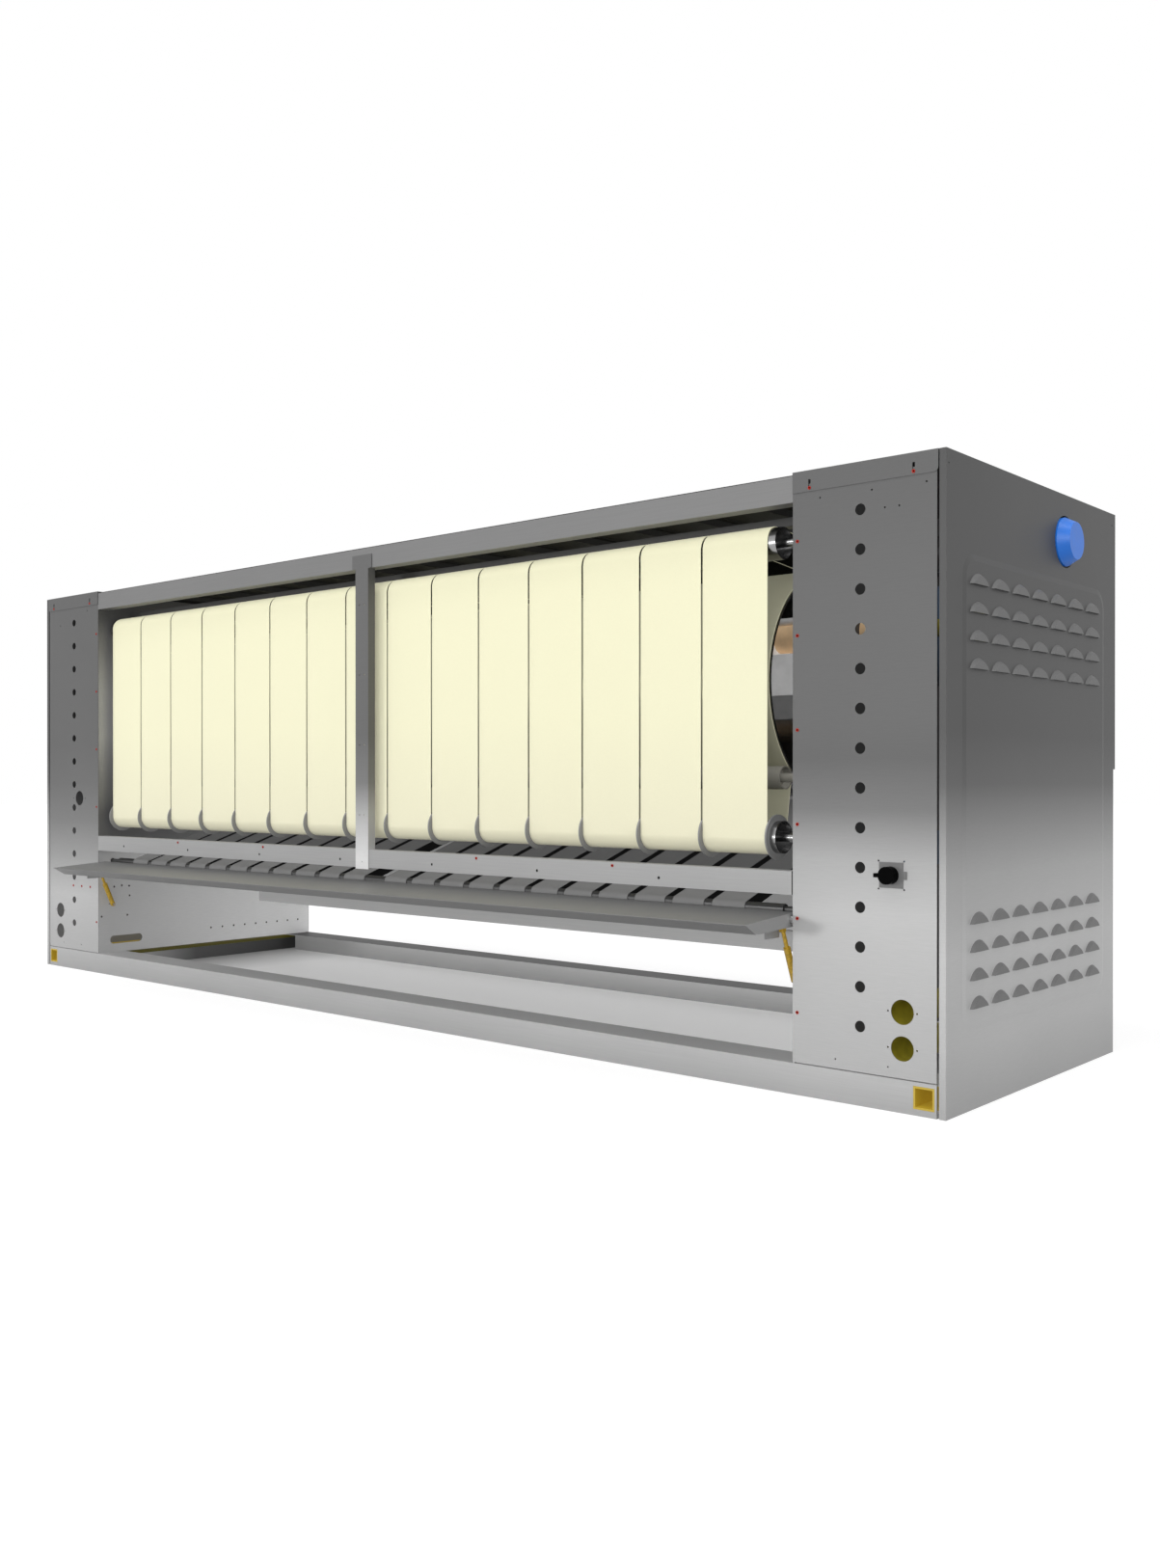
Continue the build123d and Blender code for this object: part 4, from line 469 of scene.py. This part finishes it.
def cloths():
    felt_thread, tape_thread = 900.0, 600.0
    return {
        "felt": cloth("belt_felt", felt_stops, felt_thread),
        # the belts' inner side in painted shade
        "felt_painted_shade": cloth("belt_felt_painted_shade", felt_painted_shade_stops, felt_thread, sheen=0.0),
        # tapes: painted shade by height, and near black painted shade on the lower run below the
        # plane
        "tape": cloth("tape_cloth", greys((0.0, 138), (0.31, 132), (0.35, 114), (1.0, 140)),
                      tape_thread, under=((0, -TAPE_SLOPE, 1), TAPE_PLANE, 22), sheen=0.0),
        "feed": cloth("feed_cloth", even(222, (1.0, 0.98, 0.93)), tape_thread),
    }


M = {**sheet_metals(), **turned_metals(), **paints_and_plastics(), **cloths()}

NODE_LOOK = {
    "base_frame": "base", "base_pan": "pan", "lifting_tubes": "yellow", "frame_top_beams": "beam",
    "ribbed_roof_panel": "roof", "front_crossbeam": "crossbeam", "front_apron": "apron",
    "centre_post": "post", "right_end_wall": "wall", "left_end_wall": "wall",
    "burner_end_plates": "wall", "roller_bearings": "cast", "front_carrier_rollers": "roller",
    "rear_carrier_rollers": "roller", "carrier_axles": "roller", "drum_shell": "drum",
    "burner_tube": "tan", "gas_manifold": "pipe", "burner_carriage": "carriage",
    "heat_baffle": "baffle", "upper_press_roller": "press_roller", "feed_press_roller": "roller",
    "lower_press_roller": "press_roller", "exit_roller": "exit", "belt_guide_rings": "ring",
    "delivery_front_roller": "tape_roller", "delivery_rear_roller": "tape_roller",
    "catch_shelf": "shelf",
    "hinge_pins_and_bushes": "roller", "gas_spring_bodies": "spring", "gas_spring_rods": "spring",
    "feed_inner_roller": "roller", "feed_outer_roller": "roller", "feed_table_and_arms": "shelf",
    "feed_finger_guard": "panel", "feeding_side_panels": "panel", "right_side_panel": "side",
    "left_side_panel": "side", "right_front_panel": "panel", "left_front_panel": "left_panel",
    "cabinet_top_caps": "panel", "panel_rivet_nuts": "red", "exhaust_fan_and_motor": "motor",
    "exhaust_duct": "roller", "exhaust_blanking_cap": "blue", "exhaust_fan_wheel": "roller",
    "motor_sprocket": "chain", "drive_chain": "chain", "main_gearmotor": "motor",
    "tape_gearmotors": "motor", "gas_line": "gas", "main_switch_body": "plate",
    "main_switch_knob": "black", "control_console": "console", "start_button": "green",
    "stop_button": "black", "emergency_stop_button": "stop",
}
for node, look in NODE_LOOK.items():
    for slot in NODES[node].material_slots:
        slot.material = M[look]


# ---------------------------------------------------------------- mesh helpers
def piece(name, bm, look, inside=None):
    """Smooth object from a bmesh, with a second look for the faces that have its index."""
    mesh = bpy.data.meshes.new(name)
    bmesh.ops.recalc_face_normals(bm, faces=bm.faces)
    bm.to_mesh(mesh)
    bm.free()
    mesh.materials.append(M[look])
    if inside:
        mesh.materials.append(M[inside])
    for face in mesh.polygons:
        face.use_smooth = True
    obj = bpy.data.objects.new(name, mesh)
    bpy.context.scene.collection.objects.link(obj)
    return obj


def loop_path(pulleys, offsets, step=0.03, bend=math.radians(4.0)):
    """Points and outward normals (y, z) round an endless loop; a pulley is (y, z, turn)."""
    count = len(pulleys)
    runs = []
    for i in range(count):
        y0, z0, t0 = pulleys[i]
        y1, z1, t1 = pulleys[(i + 1) % count]
        r0, r1 = offsets[i] * t0, offsets[(i + 1) % count] * t1
        span = math.hypot(y1 - y0, z1 - z0)
        normal = math.atan2(z1 - z0, y1 - y0) + math.acos((r0 - r1) / span)
        n = (math.cos(normal), math.sin(normal))
        runs.append(((y0 + r0 * n[0], z0 + r0 * n[1]), (y1 + r1 * n[0], z1 + r1 * n[1]), n))
    points = []
    for i, (start, end, n) in enumerate(runs):
        following = runs[(i + 1) % count]
        length = math.dist(start, end)
        pieces = max(2, int(length / step))
        for k in range(pieces):
            share = k / pieces
            points.append((start[0] + (end[0] - start[0]) * share,
                           start[1] + (end[1] - start[1]) * share, n[0], n[1], 1.0))
        y, z, turn = pulleys[(i + 1) % count]
        radius = offsets[(i + 1) % count]
        a0 = math.atan2(end[1] - z, end[0] - y)
        a1 = math.atan2(following[0][1] - z, following[0][0] - y)
        sweep = (a0 - a1) % (2 * math.pi) if turn > 0 else -((a1 - a0) % (2 * math.pi))
        parts = max(3, int(abs(sweep) / bend))
        for k in range(parts):
            a = a0 - sweep * k / parts
            side = 1.0 if turn > 0 else -1.0
            points.append((y + radius * math.cos(a), z + radius * math.sin(a),
                           side * math.cos(a), side * math.sin(a), 0.0))
    return points


def ribbon(name, points, x0, x1, thickness, look, seed, slack=0.0, inside=None):
    """Endless cloth band of even thickness with soft edges, slack a little in its free runs.

    inside is the look of the side that runs on the rollers.
    """
    half = thickness / 2
    edge = 0.8 * thickness
    columns = 6
    waves_across, waves_along, seed_step = 9.0, 5.0, 7.3
    section = [(x0, 0.0), (x0 + 0.25 * edge, 0.7 * half), (x0 + edge, half)]
    for k in range(1, columns):
        section.append((x0 + edge + (x1 - x0 - 2 * edge) * k / columns, half))
    section += [(x1 - edge, half), (x1 - 0.25 * edge, 0.7 * half), (x1, 0.0)]
    section += [(x, -h) for x, h in reversed(section[1:-1])]
    bm = bmesh.new()
    rings = []
    for y, z, ny, nz, free in points:
        ring = []
        for x, h in section:
            place = Vector((x * waves_across + seed * seed_step, y * waves_along, z * waves_along))
            lift = h + slack * free * noise.noise(place)
            ring.append(bm.verts.new((x, y + ny * lift, z + nz * lift)))
        rings.append(ring)
    for i, ring in enumerate(rings):
        following = rings[(i + 1) % len(rings)]
        for k in range(len(ring)):
            j = (k + 1) % len(ring)
            face = bm.faces.new((ring[k], ring[j], following[j], following[k]))
            face.material_index = int(bool(inside) and k > len(ring) // 2)
    return piece(name, bm, look, inside)


# ---------------------------------------------------------------- belts and tapes
def ironing_belts():
    """Belts round the three press rollers, the exit roller and the front of the drum."""
    drum_y, drum_z, drum_r = DRUM
    reach = drum_r + BELT_T + 2 * SEAT + NIP_R + NIP_GAP
    nip = (drum_y + reach * math.cos(NIP_ANGLE), drum_z + reach * math.sin(NIP_ANGLE))
    pulleys = [(y, z, 1) for y, z in PRESS_PLACES] + [(drum_y, drum_z, -1), (*nip, 1)]
    offsets = [r + SEAT + BELT_T / 2 for r in (PRESS_R, PRESS_R, PRESS_R, drum_r, NIP_R)]
    line = loop_path(pulleys, offsets)
    for i in range(BELT_COUNT):
        x1 = BELT_RIGHT - i * BELT_PITCH - BELT_SLOT / 2
        x0 = x1 - BELT_PITCH + BELT_SLOT
        # the side on the rollers takes the belts' painted shade
        belt = ribbon(f"ironing_belt_{i + 1:02d}", line, x0, x1, BELT_T, "felt", i, 0.0004,
                      "felt_painted_shade")
        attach(belt, "frame")
        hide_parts("ironing_belts")


def two_roller_path(places, radius, thickness, bend):
    """A tape's loop round two equal rollers, with a point for each bend of so many degrees."""
    return loop_path([(y, z, 1) for y, z in places], [radius + SEAT + thickness / 2] * 2,
                     bend=math.radians(bend))


def delivery_tapes():
    line = two_roller_path(DELIVERY_PLACES, DELIVERY_R, DELIVERY_T, bend=9.0)
    middles = [DELIVERY_MIDDLE_GAP + (i + 0.5) * DELIVERY_PITCH for i in range(DELIVERY_PAIRS)]
    middles += [-middle for middle in middles]
    for i, middle in enumerate(middles):
        tape = ribbon(f"delivery_tape_{i + 1:02d}", line, middle - DELIVERY_WIDTH / 2,
                      middle + DELIVERY_WIDTH / 2, DELIVERY_T, "tape", 40 + i, 0.0008)
        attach(tape, "frame")
        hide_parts("delivery_tapes")


def feed_tapes():
    line = two_roller_path(FEED_PLACES, FEED_R, FEED_T, bend=7.0)
    for i in range(FEED_COUNT):
        middle = BELT_RIGHT - (i + 0.5) * FEED_PITCH
        tape = ribbon(f"feed_tape_{i + 1:02d}", line, middle - FEED_WIDTH / 2,
                      middle + FEED_WIDTH / 2, FEED_T, "feed", 80 + i, 0.0003)
        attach(tape, "frame")
        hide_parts("feed_tapes")


# ---------------------------------------------------------------- light, floor, camera
ROOM_LIGHT = 0.45
FLOOR_TONE = 0.55                       # and as much of its own for the rays that see it
WHITE = (1, 1, 1, 1)


def world():
    """Even room light, and plain white for what looks at it."""
    w = bpy.data.worlds.new("studio")
    bpy.context.scene.world = w
    w.use_nodes = True
    nodes, links = w.node_tree.nodes, w.node_tree.links
    nodes.clear()
    out = nodes.new("ShaderNodeOutputWorld")
    room, white = nodes.new("ShaderNodeBackground"), nodes.new("ShaderNodeBackground")
    room.inputs["Color"].default_value = WHITE
    room.inputs["Strength"].default_value = ROOM_LIGHT
    white.inputs["Color"].default_value = WHITE
    white.inputs["Strength"].default_value = 1.0
    seen = seen_directly(nodes, links)
    mix = nodes.new("ShaderNodeMixShader")
    links.new(seen, mix.inputs[0])
    links.new(room.outputs[0], mix.inputs[1])
    links.new(white.outputs[0], mix.inputs[2])
    links.new(mix.outputs[0], out.inputs["Surface"])


def seen_directly(nodes, links):
    """1 for rays from the camera, off metal or through glass."""
    path = nodes.new("ShaderNodeLightPath")
    total = path.outputs["Is Camera Ray"]
    for key in ("Is Glossy Ray", "Is Transmission Ray"):
        add = nodes.new("ShaderNodeMath")
        add.operation = "MAXIMUM"
        links.new(total, add.inputs[0])
        links.new(path.outputs[key], add.inputs[1])
        total = add.outputs[0]
    return total


def floor():
    """Wide white floor just under the part, which keeps the part's shadow."""
    bm = bmesh.new()
    bmesh.ops.create_grid(bm, x_segments=2, y_segments=2, size=40.0)
    mesh = bpy.data.meshes.new("floor")
    bm.to_mesh(mesh)
    bm.free()
    obj = bpy.data.objects.new("floor", mesh)
    obj.location.z = -0.001
    bpy.context.scene.collection.objects.link(obj)
    mat = bpy.data.materials.new("floor_white")
    mat.use_nodes = True
    nodes, links = mat.node_tree.nodes, mat.node_tree.links
    nodes.clear()
    out = nodes.new("ShaderNodeOutputMaterial")
    matt, glow = nodes.new("ShaderNodeBsdfDiffuse"), nodes.new("ShaderNodeEmission")
    matt.inputs["Color"].default_value = (FLOOR_TONE, FLOOR_TONE, FLOOR_TONE, 1)
    seen = seen_directly(nodes, links)
    level = nodes.new("ShaderNodeMath")
    level.operation = "MULTIPLY"
    level.inputs[1].default_value = FLOOR_TONE
    links.new(seen, level.inputs[0])
    links.new(level.outputs[0], glow.inputs["Strength"])
    both = nodes.new("ShaderNodeAddShader")
    links.new(matt.outputs[0], both.inputs[0])
    links.new(glow.outputs[0], both.inputs[1])
    links.new(both.outputs[0], out.inputs["Surface"])
    mesh.materials.append(mat)


def lamp(name, source, strength, width, shadow=True):
    """Distant soft light that comes from the direction of source."""
    data = bpy.data.lights.new(name, "SUN")
    data.energy = strength
    data.angle = math.radians(width)
    data.use_shadow = shadow
    obj = bpy.data.objects.new(name, data)
    obj.rotation_euler = (-Vector(source)).to_track_quat("-Z", "Y").to_euler()
    bpy.context.scene.collection.objects.link(obj)


def camera():
    """The photo's camera, as solved from the lines of the machine."""
    eye = (3.6455, -3.6282, 0.8209)
    yaw, pitch = math.radians(40.880), math.radians(-0.181)
    data = bpy.data.cameras.new("camera")
    data.sensor_fit = "AUTO"
    data.sensor_width = 36.0
    data.lens = 31.545
    obj = bpy.data.objects.new("camera", data)
    ahead = Vector((-math.sin(yaw) * math.cos(pitch), math.cos(yaw) * math.cos(pitch),
                    math.sin(pitch)))
    right = Vector((math.cos(yaw), math.sin(yaw), 0.0))
    up = right.cross(ahead)
    turn = Matrix((right, up, -ahead)).transposed().to_4x4()
    obj.matrix_world = Matrix.Translation(eye) @ turn
    bpy.context.scene.collection.objects.link(obj)
    bpy.context.scene.camera = obj


ironing_belts()
delivery_tapes()
feed_tapes()
world()
floor()
lamp("key", source=(-0.45, -0.89, 0.03), strength=0.55, width=10.0)
lamp("high", source=(-0.2, -0.5, 1.0), strength=0.5, width=30.0)
lamp("fill", source=(0.60, -0.75, 0.25), strength=1.1, width=30.0, shadow=False)
lamp("top_fill", source=(0.1, -0.2, 1.0), strength=1.0, width=30.0, shadow=False)
camera()
bpy.context.scene.view_settings.view_transform = "Standard"
